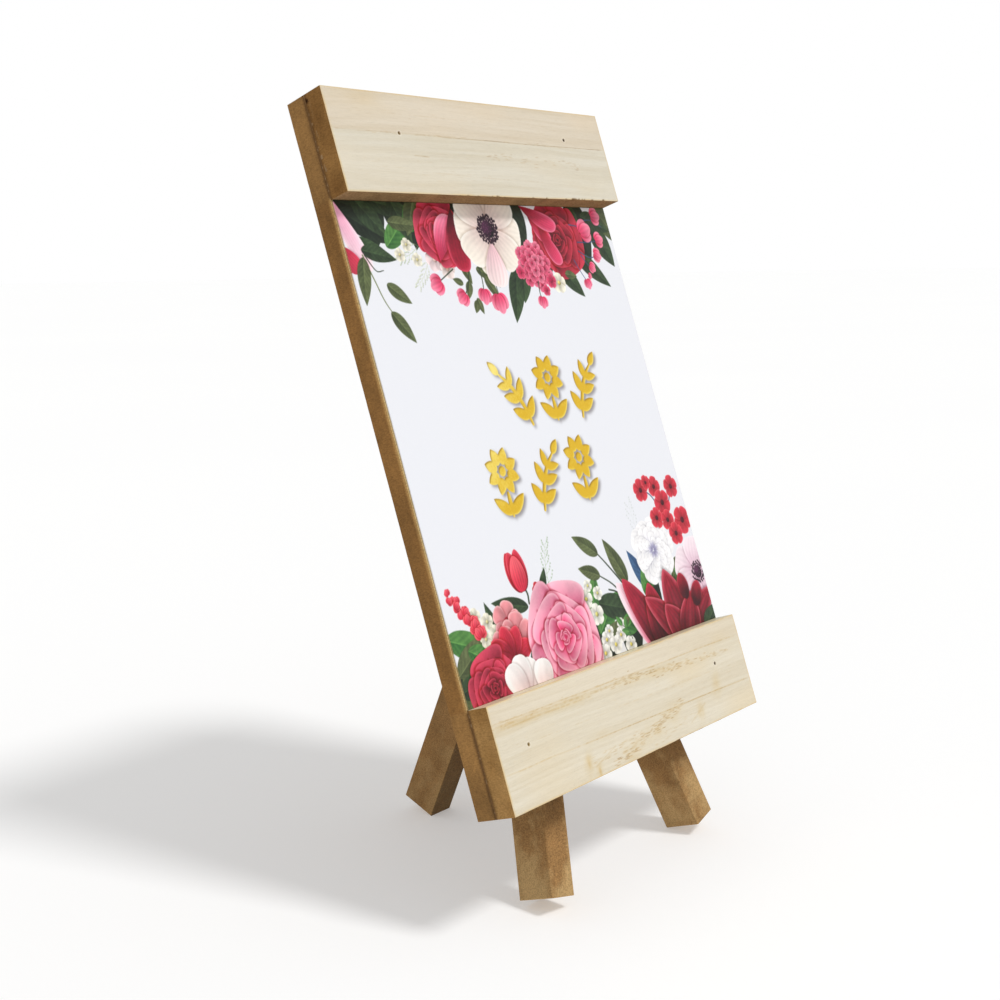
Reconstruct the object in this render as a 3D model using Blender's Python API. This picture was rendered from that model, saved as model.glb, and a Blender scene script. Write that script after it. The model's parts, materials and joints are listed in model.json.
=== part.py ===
"""A small wooden plaque that stands on its own three-legged easel.

A printed sheet is glued to a back board between two nailed wooden bars. Two splayed legs are
screwed to the board's back, and a third leg folds between them on a cross bolt. Opened, its
rounded heel comes to rest against the board, which sets the lean.

The board has a frame of its own, in which most pieces are placed: X to the right, Y from the
bars' front faces towards the back, Z up the board from its bottom edge. The dimensions are in
millimetres, and MM turns them into Blender's metres.
"""

import math

import bmesh
import bpy
from mathutils import Matrix, Vector

MM = 0.001

# Driving dimensions
WIDTH = 170.0
HEIGHT = 270.0
THICKNESS = 9.0
BAR_HEIGHT = 40.0
SHEET_THICKNESS = 0.4
SHEET_MARGIN = 0.4
EDGE_EASE = 0.5
GAP = 0.3

LEG_WIDTH = 13.0
LEG_DEPTH = 16.5
LEG_LENGTH = 163.5
FRONT_REACH = 150.1
REAR_REACH = 151.5
LEG_INSET = 14.5
SPLAY = math.radians(13.85)
OPEN_ANGLE = math.radians(41.7)
PIVOT_HEIGHT = 106.5

BOLT_RADIUS = 2.0
BOLT_LENGTH = 35.0
BOLT_HEAD_RADIUS = 3.8
BOLT_HEAD_HEIGHT = 2.2
BOLT_HEAD_RIM = 0.4
BOLT_TIP_CHAMFER = 0.6
SOCKET_RADIUS = 1.45
SOCKET_DEPTH = 1.3
NUT_RADIUS = 4.0
NUT_HEIGHT = 3.2
NUT_CHAMFER = 0.5
WASHER_RADIUS = 4.5
WASHER_THICKNESS = 0.8
SPACER_THICKNESS = 2.0
RECESS_RADIUS = 5.4
RECESS_FLOOR = 14.0
SLOT_HALF_HEIGHT = 20.0

SCREW_HEAD_RADIUS = 3.4
SCREW_ROOT_RADIUS = 1.3
SCREW_THREAD_RADIUS = 1.7
SCREW_LENGTH = 20.0
SCREW_HEAD_RIM = 0.3
SCREW_PLAIN_LENGTH = 7.0
SCREW_POINT_LENGTH = 3.0
SCREW_PITCH = 1.5
SCREW_SINK = 3.0
CROSS_HALF_LENGTH = 1.9
CROSS_HALF_FLOOR = 1.0
CROSS_HALF_WIDTH = 0.45
CROSS_DEPTH = 1.5
SCREWS_DOWN_LEG = {"upper": 24.0, "lower": 90.0}

BRAD_HEAD_RADIUS = 0.8
BRAD_SHANK_RADIUS = 0.6
BRAD_LENGTH = 14.5
BRAD_HEAD_HEIGHT = 0.5
BRAD_POINT_LENGTH = 1.2
BRAD_SINK = 0.5
BRADS = {  # across from the middle, and up from the board's bottom edge
    "top_left": (-49.0, 254.0),
    "top_right": (56.0, 257.0),
    "bottom_left": (-68.0, 22.0),
    "bottom_right": (61.5, 23.0),
}

# Worked out from them
BOARD_FRONT = THICKNESS + GAP
BOARD_BACK = BOARD_FRONT + THICKNESS
LEG_FRONT = BOARD_BACK + GAP
LEG_BACK = LEG_FRONT + LEG_DEPTH
PIVOT_BACK = LEG_FRONT + LEG_DEPTH / 2
BORE_RADIUS = BOLT_RADIUS + GAP
SLOT_HALF_WIDTH = LEG_WIDTH / 2 + GAP + SPACER_THICKNESS + GAP
HEAD_SEAT = RECESS_FLOOR + GAP + WASHER_THICKNESS + GAP

# How far a cutter reaches past the surface that it opens
OVERCUT = 2.0

FACES_FRONT = (math.radians(90), 0, 0)
FACES_BACK = (math.radians(-90), 0, 0)
FACES_LEFT = (0, math.radians(-90), 0)
FACES_RIGHT = (0, math.radians(90), 0)


# ---------------------------------------------------------------- building blocks

def principled(name, rgb, roughness, metallic=0.0):
    """A plain Principled material; rgb is linear."""
    material = bpy.data.materials.new(name)
    material.use_nodes = True
    shader = material.node_tree.nodes["Principled BSDF"]
    shader.inputs["Base Color"].default_value = (*rgb, 1.0)
    shader.inputs["Roughness"].default_value = roughness
    shader.inputs["Metallic"].default_value = metallic
    material.diffuse_color = (*rgb, 1.0)
    return material


def finish(name, bm, parent, location, rotation, material, smooth):
    """Turn a bmesh in millimetres into a placed object."""
    bmesh.ops.recalc_face_normals(bm, faces=bm.faces)
    bmesh.ops.scale(bm, vec=(MM, MM, MM), verts=bm.verts)
    mesh = bpy.data.meshes.new(name)
    bm.to_mesh(mesh)
    bm.free()
    if smooth:
        mesh.shade_smooth()
        mesh.set_sharp_from_angle(angle=math.radians(35))
    obj = bpy.data.objects.new(name, mesh)
    obj.parent = parent
    obj.location = Vector(location) * MM
    obj.rotation_euler = rotation
    bpy.context.scene.collection.objects.link(obj)
    if material is None:
        obj.hide_render = True
        obj.display_type = "WIRE"
    else:
        mesh.materials.append(material)
    return obj


def empty(name, parent, location=(0, 0, 0), rotation=(0, 0, 0)):
    """A frame that pieces are parented to."""
    obj = bpy.data.objects.new(name, None)
    obj.parent = parent
    obj.location = Vector(location) * MM
    obj.rotation_euler = rotation
    bpy.context.scene.collection.objects.link(obj)
    return obj


def block(name, low, high, parent, material=None, ease=0.0):
    """A box between two corners, with its edges eased. Without a material it is a cutter."""
    low, high = Vector(low), Vector(high)
    bm = bmesh.new()
    bmesh.ops.create_cube(bm, size=1.0)
    bmesh.ops.scale(bm, vec=high - low, verts=bm.verts)
    obj = finish(name, bm, parent, (low + high) / 2, (0, 0, 0), material, False)
    if ease:
        bevel = obj.modifiers.new("eased_edges", "BEVEL")
        bevel.width = ease * MM
        bevel.segments = 2
    return obj


def prism(name, outline, half_width, parent, location, rotation, material=None, ease=0.0):
    """An outline in the local YZ plane, extruded as far to -X as to +X, its two rims eased."""
    bm = bmesh.new()
    face = bm.faces.new([bm.verts.new((-half_width, y, z)) for y, z in outline])
    grown = bmesh.ops.extrude_face_region(bm, geom=[face])["geom"]
    moved = [item for item in grown if isinstance(item, bmesh.types.BMVert)]
    bmesh.ops.translate(bm, vec=(2 * half_width, 0, 0), verts=moved)
    if ease:
        rims = [edge for edge in bm.edges if abs(edge.verts[0].co.x - edge.verts[1].co.x) < half_width]
        bmesh.ops.bevel(bm, geom=rims, offset=ease, segments=2, profile=0.5, affect="EDGES")
    return finish(name, bm, parent, location, rotation, material, False)


def turned(name, profile, parent, location, rotation, material=None, steps=32, closed=False):
    """Spin a profile of (radius, height) about local Z. A closed profile makes a ring."""
    bm = bmesh.new()
    points = [bm.verts.new((radius, 0, height)) for radius, height in profile]
    ends = list(zip(points, points[1:]))
    if closed:
        ends.append((points[-1], points[0]))
    edges = [bm.edges.new(pair) for pair in ends]
    bmesh.ops.spin(bm, geom=points + edges, cent=(0, 0, 0), axis=(0, 0, 1),
                   angle=math.tau, steps=steps, use_merge=True)
    bmesh.ops.remove_doubles(bm, verts=bm.verts, dist=0.0001)
    return finish(name, bm, parent, location, rotation, material, True)


def washer(name, thickness, parent, location, material):
    """A flat ring whose near face lies at its location, growing to +X."""
    profile = [(BORE_RADIUS, 0), (WASHER_RADIUS, 0), (WASHER_RADIUS, thickness), (BORE_RADIUS, thickness)]
    return turned(name, profile, parent, location, FACES_RIGHT, material, closed=True)


def combine(obj, other, operation="DIFFERENCE"):
    """Cut an object with another one, or keep only what the two share."""
    boolean = obj.modifiers.new(other.name, "BOOLEAN")
    boolean.operation = operation
    boolean.solver = "EXACT"
    boolean.object = other


# ---------------------------------------------------------------- board, sheet and bars

def make_board(frame, wood):
    half = WIDTH / 2
    return block("back_board", (-half, BOARD_FRONT, 0), (half, BOARD_BACK, HEIGHT), frame, wood, EDGE_EASE)


def make_sheet(frame, film):
    """The printed sheet fills the board's front between the bars, just short of its sides."""
    half = WIDTH / 2 - SHEET_MARGIN
    back = BOARD_FRONT - GAP
    low = (-half, back - SHEET_THICKNESS, BAR_HEIGHT + GAP)
    high = (half, back, HEIGHT - BAR_HEIGHT - GAP)
    return block("print_sheet", low, high, frame, film)


def make_bar(name, bottom, frame, wood):
    half = WIDTH / 2
    return block(name, (-half, 0, bottom), (half, THICKNESS, bottom + BAR_HEIGHT), frame, wood, EDGE_EASE)


def make_brad(name, place, frame, steel, bar, board):
    """A headed brad sunk below the bar's face, with its clearance hole in bar and board."""
    across, up = place
    neck = -BRAD_HEAD_HEIGHT - (BRAD_HEAD_RADIUS - BRAD_SHANK_RADIUS)
    brad = [(0, 0), (BRAD_HEAD_RADIUS, 0), (BRAD_HEAD_RADIUS, -BRAD_HEAD_HEIGHT), (BRAD_SHANK_RADIUS, neck),
            (BRAD_SHANK_RADIUS, BRAD_POINT_LENGTH - BRAD_LENGTH), (0, -BRAD_LENGTH)]
    head_wall, shank_wall = BRAD_HEAD_RADIUS + GAP, BRAD_SHANK_RADIUS + GAP
    hole = [(0, 2 * BRAD_SINK), (head_wall, 2 * BRAD_SINK), (head_wall, neck - GAP),
            (shank_wall, neck - 2 * GAP), (shank_wall, -BRAD_LENGTH - GAP), (0, -BRAD_LENGTH - GAP)]
    location = (across, BRAD_SINK, up)
    turned(f"brad_{name}", brad, frame, location, FACES_FRONT, steel, steps=16)
    cutter = turned(f"cut_brad_{name}", hole, frame, location, FACES_FRONT, steps=16)
    combine(bar, cutter)
    combine(board, cutter)


# ---------------------------------------------------------------- legs

def make_front_leg(side, turn, frame, wood):
    """A square-cut leg flat against the board, splayed so that its foot stands further out."""
    crossing = (turn * LEG_INSET, PIVOT_BACK, PIVOT_HEIGHT)
    hang = empty(f"{side}_leg_frame", frame, crossing, (0, -turn * SPLAY, 0))
    depth, top = LEG_DEPTH / 2, LEG_LENGTH - FRONT_REACH
    outline = [(depth, -FRONT_REACH), (depth, top), (-depth, top), (-depth, -FRONT_REACH)]
    name = f"front_leg_{side}"
    return prism(name, outline, LEG_WIDTH / 2, hang, (0, 0, 0), (0, 0, 0), wood, EDGE_EASE), hang


def make_leg_screws(side, leg, hang, board, steel):
    """Countersunk screws, driven from the leg's back through it into the board."""
    for level, down in SCREWS_DOWN_LEG.items():
        location = (0, LEG_DEPTH / 2 - SCREW_SINK, -down)
        name = f"leg_screw_{side}_{level}"
        neck = -SCREW_HEAD_RIM - (SCREW_HEAD_RADIUS - SCREW_ROOT_RADIUS)
        head = [(0, 0), (SCREW_HEAD_RADIUS, 0), (SCREW_HEAD_RADIUS, -SCREW_HEAD_RIM),
                (SCREW_ROOT_RADIUS, neck)]
        thread = thread_profile(-SCREW_PLAIN_LENGTH, SCREW_POINT_LENGTH - SCREW_LENGTH)
        profile = head + thread + [(0, -SCREW_LENGTH)]
        screw = turned(name, profile, hang, location, FACES_BACK, steel, steps=20)
        cut_cross_recess(screw, hang, location)
        head_wall, wall = SCREW_HEAD_RADIUS + GAP, SCREW_THREAD_RADIUS + GAP
        hole = [(0, 2 * SCREW_SINK), (head_wall, 2 * SCREW_SINK), (head_wall, -SCREW_HEAD_RIM - GAP),
                (wall, neck - GAP), (wall, -SCREW_LENGTH - GAP), (0, -SCREW_LENGTH - GAP)]
        cutter = turned(f"cut_{name}", hole, hang, location, FACES_BACK, steps=20)
        combine(leg, cutter)
        combine(board, cutter)


def thread_profile(top, bottom):
    """Ridges of a coarse thread, drawn as rings from the top height to the bottom one."""
    points = []
    for turn in range(int((top - bottom) / SCREW_PITCH)):
        height = top - turn * SCREW_PITCH
        points += [(SCREW_ROOT_RADIUS, height), (SCREW_THREAD_RADIUS, height - SCREW_PITCH / 2)]
    return points + [(SCREW_ROOT_RADIUS, bottom)]


def cut_cross_recess(screw, hang, location):
    """Two crossed slots in the screw's head, for a cross-head driver."""
    above = 0.2
    slot = [(-CROSS_HALF_LENGTH, above), (CROSS_HALF_LENGTH, above),
            (CROSS_HALF_FLOOR, -CROSS_DEPTH), (-CROSS_HALF_FLOOR, -CROSS_DEPTH)]
    facing = Matrix.Rotation(FACES_BACK[0], 3, "X")
    for index, roll in enumerate((45, 135)):
        turn = (facing @ Matrix.Rotation(math.radians(roll), 3, "Z")).to_euler()
        combine(screw, prism(f"cut_{screw.name}_{index}", slot, CROSS_HALF_WIDTH, hang, location, turn))


def make_rear_leg(hinge, wood):
    """The folding leg. Its heel is round about the bolt, and ends in a flat that meets the board.

    The outline is in the leg's own frame: Y towards its back, Z up along it, the bolt at zero.
    """
    depth, top = LEG_DEPTH / 2, LEG_LENGTH - REAR_REACH
    flat_end = (depth - top * math.sin(OPEN_ANGLE)) / math.cos(OPEN_ANGLE)
    outline = [(-depth, -REAR_REACH), (depth, -REAR_REACH), (depth, top), (-flat_end, top)]
    steps = 8
    for step in range(steps, -1, -1):
        angle = OPEN_ANGLE * step / steps
        outline.append((-depth * math.cos(angle), depth * math.sin(angle)))
    return prism("rear_leg", outline, LEG_WIDTH / 2, hinge, (0, 0, 0), (0, 0, 0), wood, EDGE_EASE)


# ---------------------------------------------------------------- hinge

def cut_hinge_seats(frame, left, right, rear):
    """One bore through the three legs, a slot between the front two, and a recess on each side."""
    centre = (0, PIVOT_BACK, PIVOT_HEIGHT)
    across = 30.0
    bore = turned("cut_bore", [(0, -across), (BORE_RADIUS, -across), (BORE_RADIUS, across), (0, across)],
                  frame, centre, FACES_RIGHT)
    low = (-SLOT_HALF_WIDTH, LEG_FRONT - OVERCUT, PIVOT_HEIGHT - SLOT_HALF_HEIGHT)
    high = (SLOT_HALF_WIDTH, LEG_BACK + OVERCUT, PIVOT_HEIGHT + SLOT_HALF_HEIGHT)
    slot = block("cut_slot", low, high, frame)
    outwards = 12.0
    for leg, turn, facing in ((left, -1, FACES_LEFT), (right, 1, FACES_RIGHT)):
        combine(leg, slot)
        combine(leg, bore)
        profile = [(0, 0), (RECESS_RADIUS, 0), (RECESS_RADIUS, outwards), (0, outwards)]
        location = (turn * RECESS_FLOOR, PIVOT_BACK, PIVOT_HEIGHT)
        combine(leg, turned(f"cut_recess_{leg.name}", profile, frame, location, facing))
    combine(rear, bore)


def make_bolt(frame, steel):
    """A button-head bolt with a hexagon socket, across the three legs from the left."""
    crown, dome, steps = [(0, BOLT_HEAD_HEIGHT)], BOLT_HEAD_HEIGHT - BOLT_HEAD_RIM, 4
    for step in range(1, steps + 1):
        lean = math.radians(90 * step / steps)
        crown.append((BOLT_HEAD_RADIUS * math.sin(lean), BOLT_HEAD_RIM + dome * math.cos(lean)))
    profile = crown + [(BOLT_HEAD_RADIUS, 0), (BOLT_RADIUS, 0), (BOLT_RADIUS, BOLT_TIP_CHAMFER - BOLT_LENGTH),
                       (BOLT_RADIUS - BOLT_TIP_CHAMFER, -BOLT_LENGTH), (0, -BOLT_LENGTH)]
    location = (-HEAD_SEAT, PIVOT_BACK, PIVOT_HEIGHT)
    bolt = turned("pivot_bolt", profile, frame, location, FACES_LEFT, steel)
    floor, mouth = BOLT_HEAD_HEIGHT - SOCKET_DEPTH, BOLT_HEAD_HEIGHT + OVERCUT
    socket = [(0, floor), (SOCKET_RADIUS, floor), (SOCKET_RADIUS, mouth), (0, mouth)]
    combine(bolt, turned("cut_socket", socket, frame, location, FACES_LEFT, steps=6))


def make_nut(frame, steel):
    """A hexagon nut with its corners turned off, in the right leg's recess."""
    location = (HEAD_SEAT, PIVOT_BACK, PIVOT_HEIGHT)
    body = [(0, 0), (NUT_RADIUS, 0), (NUT_RADIUS, NUT_HEIGHT), (0, NUT_HEIGHT)]
    nut = turned("pivot_nut", body, frame, location, FACES_RIGHT, steel, steps=6)
    face, outside, tip = NUT_RADIUS * math.cos(math.radians(30)) - 0.2, NUT_RADIUS + 0.1, 1.0
    barrel = [(0, -tip), (face, 0), (outside, NUT_CHAMFER), (outside, NUT_HEIGHT - NUT_CHAMFER),
              (face, NUT_HEIGHT), (0, NUT_HEIGHT + tip)]
    combine(nut, turned("cut_nut_corners", barrel, frame, location, FACES_RIGHT), "INTERSECT")
    bottom, top = -OVERCUT, NUT_HEIGHT + OVERCUT
    bore = [(0, bottom), (BORE_RADIUS, bottom), (BORE_RADIUS, top), (0, top)]
    combine(nut, turned("cut_nut_bore", bore, frame, location, FACES_RIGHT))


def make_washers(frame, steel, nylon):
    """A steel washer under the bolt's head and the nut, a nylon one on each side of the rear leg."""
    inner = LEG_WIDTH / 2 + GAP
    outer = RECESS_FLOOR + GAP
    rows = (
        ("outer_washer_left", -outer - WASHER_THICKNESS, WASHER_THICKNESS, steel),
        ("spacer_washer_left", -inner - SPACER_THICKNESS, SPACER_THICKNESS, nylon),
        ("spacer_washer_right", inner, SPACER_THICKNESS, nylon),
        ("outer_washer_right", outer, WASHER_THICKNESS, steel),
    )
    for name, start, thickness, material in rows:
        washer(name, thickness, frame, (start, PIVOT_BACK, PIVOT_HEIGHT), material)


# ---------------------------------------------------------------- stance

def stance():
    """The lean, height and setback that stand the feet on the ground around the origin.

    The front legs touch at the inner back corner of their feet, and the rear leg at the front
    edge of its own. Both are given here as (back, up) in the board's frame.
    """
    front_up = PIVOT_HEIGHT - FRONT_REACH * math.cos(SPLAY) - LEG_WIDTH / 2 * math.sin(SPLAY)
    front = Vector((LEG_BACK, front_up))
    down = Vector((math.sin(OPEN_ANGLE), -math.cos(OPEN_ANGLE)))
    across = Vector((math.cos(OPEN_ANGLE), math.sin(OPEN_ANGLE))) * LEG_DEPTH / 2
    foot = Vector((PIVOT_BACK, PIVOT_HEIGHT)) + down * REAR_REACH
    rear, furthest = foot - across, foot + across
    lean = math.atan2(rear.y - front.y, rear.x - front.x)
    height = front.x * math.sin(lean) - front.y * math.cos(lean)
    depth = furthest.x * math.cos(lean) + furthest.y * math.sin(lean)
    return lean, height, -depth / 2


def build():
    for obj in list(bpy.data.objects):
        bpy.data.objects.remove(obj, do_unlink=True)

    pale = principled("pale_wood", (0.72, 0.64, 0.49), 0.62)
    brown = principled("brown_fibreboard", (0.21, 0.12, 0.05), 0.72)
    leg_wood = principled("leg_wood", (0.30, 0.17, 0.075), 0.70)
    film = principled("printed_film", (0.86, 0.87, 0.90), 0.25)
    bright = principled("zinc_steel", (0.62, 0.62, 0.60), 0.32, 1.0)
    dark = principled("brad_steel", (0.16, 0.14, 0.12), 0.45, 1.0)
    nylon = principled("nylon", (0.80, 0.79, 0.74), 0.45)

    lean, height, setback = stance()
    frame = empty("board_frame", None, (0, setback, height), (-lean, 0, 0))
    hinge = empty("rear_hinge", frame, (0, PIVOT_BACK, PIVOT_HEIGHT), (OPEN_ANGLE, 0, 0))

    board = make_board(frame, brown)
    make_sheet(frame, film)
    bars = {
        "bottom": make_bar("bottom_bar", 0, frame, pale),
        "top": make_bar("top_bar", HEIGHT - BAR_HEIGHT, frame, pale),
    }
    for name, place in BRADS.items():
        make_brad(name, place, frame, dark, bars[name.split("_")[0]], board)

    rear = make_rear_leg(hinge, leg_wood)
    left, left_hang = make_front_leg("left", -1, frame, leg_wood)
    right, right_hang = make_front_leg("right", 1, frame, leg_wood)
    cut_hinge_seats(frame, left, right, rear)
    make_leg_screws("left", left, left_hang, board, bright)
    make_leg_screws("right", right, right_hang, board, bright)
    make_bolt(frame, bright)
    make_nut(frame, bright)
    make_washers(frame, bright, nylon)


build()
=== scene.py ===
"""The looks of the wooden easel plaque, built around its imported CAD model.

Most pieces are made in the board's own frame: X to the right, Y from the bars' front faces
towards the back, Z up the board from its bottom edge. Places and sizes are in millimetres, and
MM turns them into metres. Colours are display values from 0 to 1, which rgb() makes from 0 to
255, until linear() turns them into Blender's own.
"""

import json
import math
from collections import namedtuple
from types import SimpleNamespace

import bpy
import numpy as np
from mathutils import Matrix, Vector


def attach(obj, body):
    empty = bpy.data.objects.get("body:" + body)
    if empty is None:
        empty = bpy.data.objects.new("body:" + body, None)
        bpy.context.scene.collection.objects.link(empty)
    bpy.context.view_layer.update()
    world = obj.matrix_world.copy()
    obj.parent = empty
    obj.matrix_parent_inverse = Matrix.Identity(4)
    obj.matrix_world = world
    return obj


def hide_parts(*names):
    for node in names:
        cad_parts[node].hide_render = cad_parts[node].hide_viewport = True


MM = 0.001
TINY = 1e-9
NOISE_CELLS = 256
NOISE_START = (97.3, 41.7)

# Camera, in the row frame
CAMERA_PLACE = (-468.1, -371.8, 241.7)
CAMERA_HEADING = 50.74
CAMERA_TILT = -9.13
CAMERA_ROLL = -0.95
CAMERA_LENS = 53.04

# Studio: the white all round, the floor's own glow and its radius in metres, and the lamp's
# height, swing to the right and breadth in degrees, and its power
FILL = 0.52
FLOOR_GLOW = 0.28
FLOOR_RADIUS = 30
PURE_WHITE = (1, 1, 1, 1)
KEY_RISE = 54
KEY_SWING = 14
KEY_BREADTH = 12
KEY_POWER = 1.61

# The CAD's own angles, which its boxes don't give
SPLAY = math.radians(13.85)
REAR_SWING = math.radians(41.7)

# The sheet: the pitch of its ink, how far it reaches beyond the CAD's towards the bars, how far
# its face lies behind the CAD's, and the gap behind the CAD's, which its back closes
INK_PITCH = 0.25
SHEET_REACH = 0.29
SHEET_SINK = 0.05
GLUE_GAP = 0.3

# How much a flower's shadow darkens grey ink, and how much more it darkens coloured ink
SHADE_GREY = 0.42
SHADE_COLOUR = 1.5

# Flowers: the turn from each seed to the next, and parts of a leaf, a rose, a bud and an anemone
GOLDEN_ANGLE = 137.5
LEAF_VEINS = 8
ROSE_RINGS = 6
ROSE_ROLLS = 6
BUD_SIZE = 0.84
STAMENS = 46
STAMENS_IN_FRONT = 60
HEART_SPECKS = 16

# The slabs' grids: rounded edges, the pitch of their lines, and the finer lines about each brad
EDGE = 0.25
BAR_PITCH = (0.6, 0.45, 0.22)
BOARD_PITCH = (1.2, 0.5, 1.2)
FINE_REACH = 1.7
FINE_PITCH = 0.17
SMALLEST_STEP = 0.02

# The bars' surface: the dents over the brads, the slope of its pores, and the relief of its marks
DENT_DEPTH = 0.54
GRAIN_SLOPE = 0.03
MARK_DEPTH = 0.12
CHIP_DEPTH = 0.55
SEAM_HOLE_DEPTH = 0.4

# The glue lines' grid and edge
GLUE_PITCH = (1.5, 0.1, 0.3)
GLUE_EDGE = 0.02

# ======== small helpers


def rgb(*values):
    """A display colour from 0 to 255, as an array from 0 to 1."""
    return np.array(values, float) / 255


def linear(display):
    """Display values to linear light."""
    display = limit(display)
    return np.where(display <= 0.04045, display / 12.92, ((display + 0.055) / 1.055) ** 2.4)


def limit(value):
    """A value kept between 0 and 1."""
    return np.clip(value, 0, 1)


def smooth(low, high, value):
    """0 below low, 1 above high, and an S-curve between them."""
    share = limit((value - low) / (high - low))
    return share * share * (3 - 2 * share)


def bell(value, breadth=1):
    """1 where the value is 0, and falling off on both sides of it."""
    return np.exp(-(value / breadth) ** 2)


def mix(first, second, share):
    """The first colour, with the second in its place to some share."""
    share = np.asarray(share)[..., None]
    return first * (1 - share) + second * share


def noise(x, z, grain_x, grain_z, seed):
    """Smooth noise from -1 to 1, with features grain_x by grain_z in size."""
    cells = NOISE_CELLS
    table = np.random.default_rng(seed).uniform(-1, 1, (cells, cells))
    u, v = np.asarray(x) / grain_x + NOISE_START[0], np.asarray(z) / grain_z + NOISE_START[1]
    column, row = np.floor(u).astype(int), np.floor(v).astype(int)
    across, up = u - column, v - row
    across, up = across * across * (3 - 2 * across), up * up * (3 - 2 * up)
    next_column, next_row = (column + 1) % cells, (row + 1) % cells
    column, row = column % cells, row % cells
    left = table[row, column] * (1 - up) + table[next_row, column] * up
    right = table[row, next_column] * (1 - up) + table[next_row, next_column] * up
    return left * (1 - across) + right * across


def noise_along(x, grain, seed):
    """Smooth noise from -1 to 1 that changes only along x."""
    return noise(x, 0 * x, grain, 1, seed)


def blur(field, spread):
    """Gaussian blur of a grid; spread is in cells."""
    up, across = np.fft.fftfreq(field.shape[0])[:, None], np.fft.rfftfreq(field.shape[1])
    keep = np.exp(-2 * (np.pi * spread) ** 2 * (across * across + up * up))
    return np.fft.irfft2(np.fft.rfft2(field) * keep, s=field.shape)


def curve_through(points, steps=12):
    """Points on a smooth curve through the given ones."""
    points = np.array(points, float)
    padded = np.vstack([2 * points[0] - points[1], points, 2 * points[-1] - points[-2]])
    found = []
    for before, start, end, after in zip(padded, padded[1:], padded[2:], padded[3:]):
        for share in np.arange(steps) / steps:
            found.append(0.5 * (2 * start + (end - before) * share
                                + (2 * before - 5 * start + 4 * end - after) * share ** 2
                                + (3 * start - before - 3 * end + after) * share ** 3))
    return np.array(found + [points[-1]])


# ======== colours

Tones = namedtuple("Tones", "deep mid pale")
LeafTones = namedtuple("LeafTones", "dark light")

FIBREBOARD = rgb(174, 130, 76)
LEG_WOOD = rgb(176, 134, 84)
# The dark brown painted as shade along the seams where the bars meet the board
SEAM_SHADE = rgb(76, 52, 30)
PAPER = rgb(236, 237, 242)

ROSE_PINK = Tones(rgb(206, 46, 94), rgb(238, 118, 154), rgb(252, 192, 206))
ROSE_RED = Tones(rgb(84, 6, 22), rgb(166, 24, 52), rgb(222, 76, 102))
CRIMSON = Tones(rgb(62, 6, 18), rgb(150, 20, 42), rgb(204, 60, 80))
PINK = Tones(rgb(176, 30, 72), rgb(222, 66, 106), rgb(246, 138, 164))
CORAL = Tones(rgb(150, 20, 44), rgb(208, 44, 68), rgb(240, 96, 108))
BLUSH = Tones(rgb(214, 190, 184), rgb(250, 240, 226), rgb(255, 250, 242))
LILAC = Tones(rgb(226, 190, 206), rgb(248, 230, 236), rgb(252, 242, 246))
WHITE = Tones(rgb(240, 214, 214), rgb(254, 249, 246), rgb(255, 255, 252))
CREAM = rgb(246, 240, 220)
HEART = rgb(62, 30, 52)

DEEP = LeafTones(rgb(14, 22, 18), rgb(44, 58, 40))
DARK = LeafTones(rgb(22, 34, 24), rgb(70, 92, 58))
OLIVE = LeafTones(rgb(46, 56, 34), rgb(112, 122, 78))
GREEN = LeafTones(rgb(26, 74, 36), rgb(112, 164, 82))
BLUE = LeafTones(rgb(24, 44, 78), rgb(70, 108, 150))
STEM_DARK = rgb(58, 70, 52)
STEM_BLUE = rgb(66, 84, 120)

GOLD = rgb(222, 180, 34)
GOLD_LIGHT = rgb(250, 230, 128)
GOLD_DARK = rgb(150, 112, 18)

# ======== ink on the sheet


class Canvas:
    """The printed ink: a colour for each point of a fine grid over the sheet.

    Places are in millimetres, across from the board's left edge and up from its bottom edge.
    Angles are in degrees, counter-clockwise from the right.
    """

    def __init__(self, left, bottom, right, top):
        self.x = np.linspace(left, right, round((right - left) / INK_PITCH) + 1)
        self.z = np.linspace(bottom, top, round((top - bottom) / INK_PITCH) + 1)
        self.colour = np.empty((len(self.z), len(self.x), 3))
        self.colour[:] = PAPER
        self.covered = np.zeros(self.colour.shape[:2])

    def window(self, at, reach):
        """The part of the grid within reach of a point, and each point's place from it."""
        first, last = np.searchsorted(self.x, (at[0] - reach, at[0] + reach))
        low, high = np.searchsorted(self.z, (at[1] - reach, at[1] + reach))
        dx, dz = np.meshgrid(self.x[first:last] - at[0], self.z[low:high] - at[1])
        return (slice(low, high), slice(first, last)), dx, dz

    def lay(self, part, cover, colour):
        self.colour[part] += cover[..., None] * (colour - self.colour[part])
        self.covered[part] = np.maximum(self.covered[part], cover)

    def shade(self, part, cover):
        """Darken and deepen what is already printed, and leave the bare paper alone."""
        under = self.colour[part]
        dull = 1 - under / (under.max(axis=-1, keepdims=True) + 0.01)
        cover = (cover * self.covered[part])[..., None]
        self.colour[part] = under * limit(1 - cover * (SHADE_GREY + SHADE_COLOUR * dull))


def polar(at, angle, distance):
    turn = math.radians(angle)
    return at[0] + distance * math.cos(turn), at[1] + distance * math.sin(turn)


def edge_cover(depth):
    """How much of each grid point is inside an edge, from its depth inside."""
    return limit(depth / INK_PITCH + 0.5)


def from_segment(dx, dz, way):
    """Distance of each point from a straight line that starts at 0 and goes one way."""
    share = limit((dx * way[0] + dz * way[1]) / (way @ way + TINY))
    return np.hypot(dx - share * way[0], dz - share * way[1])


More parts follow.
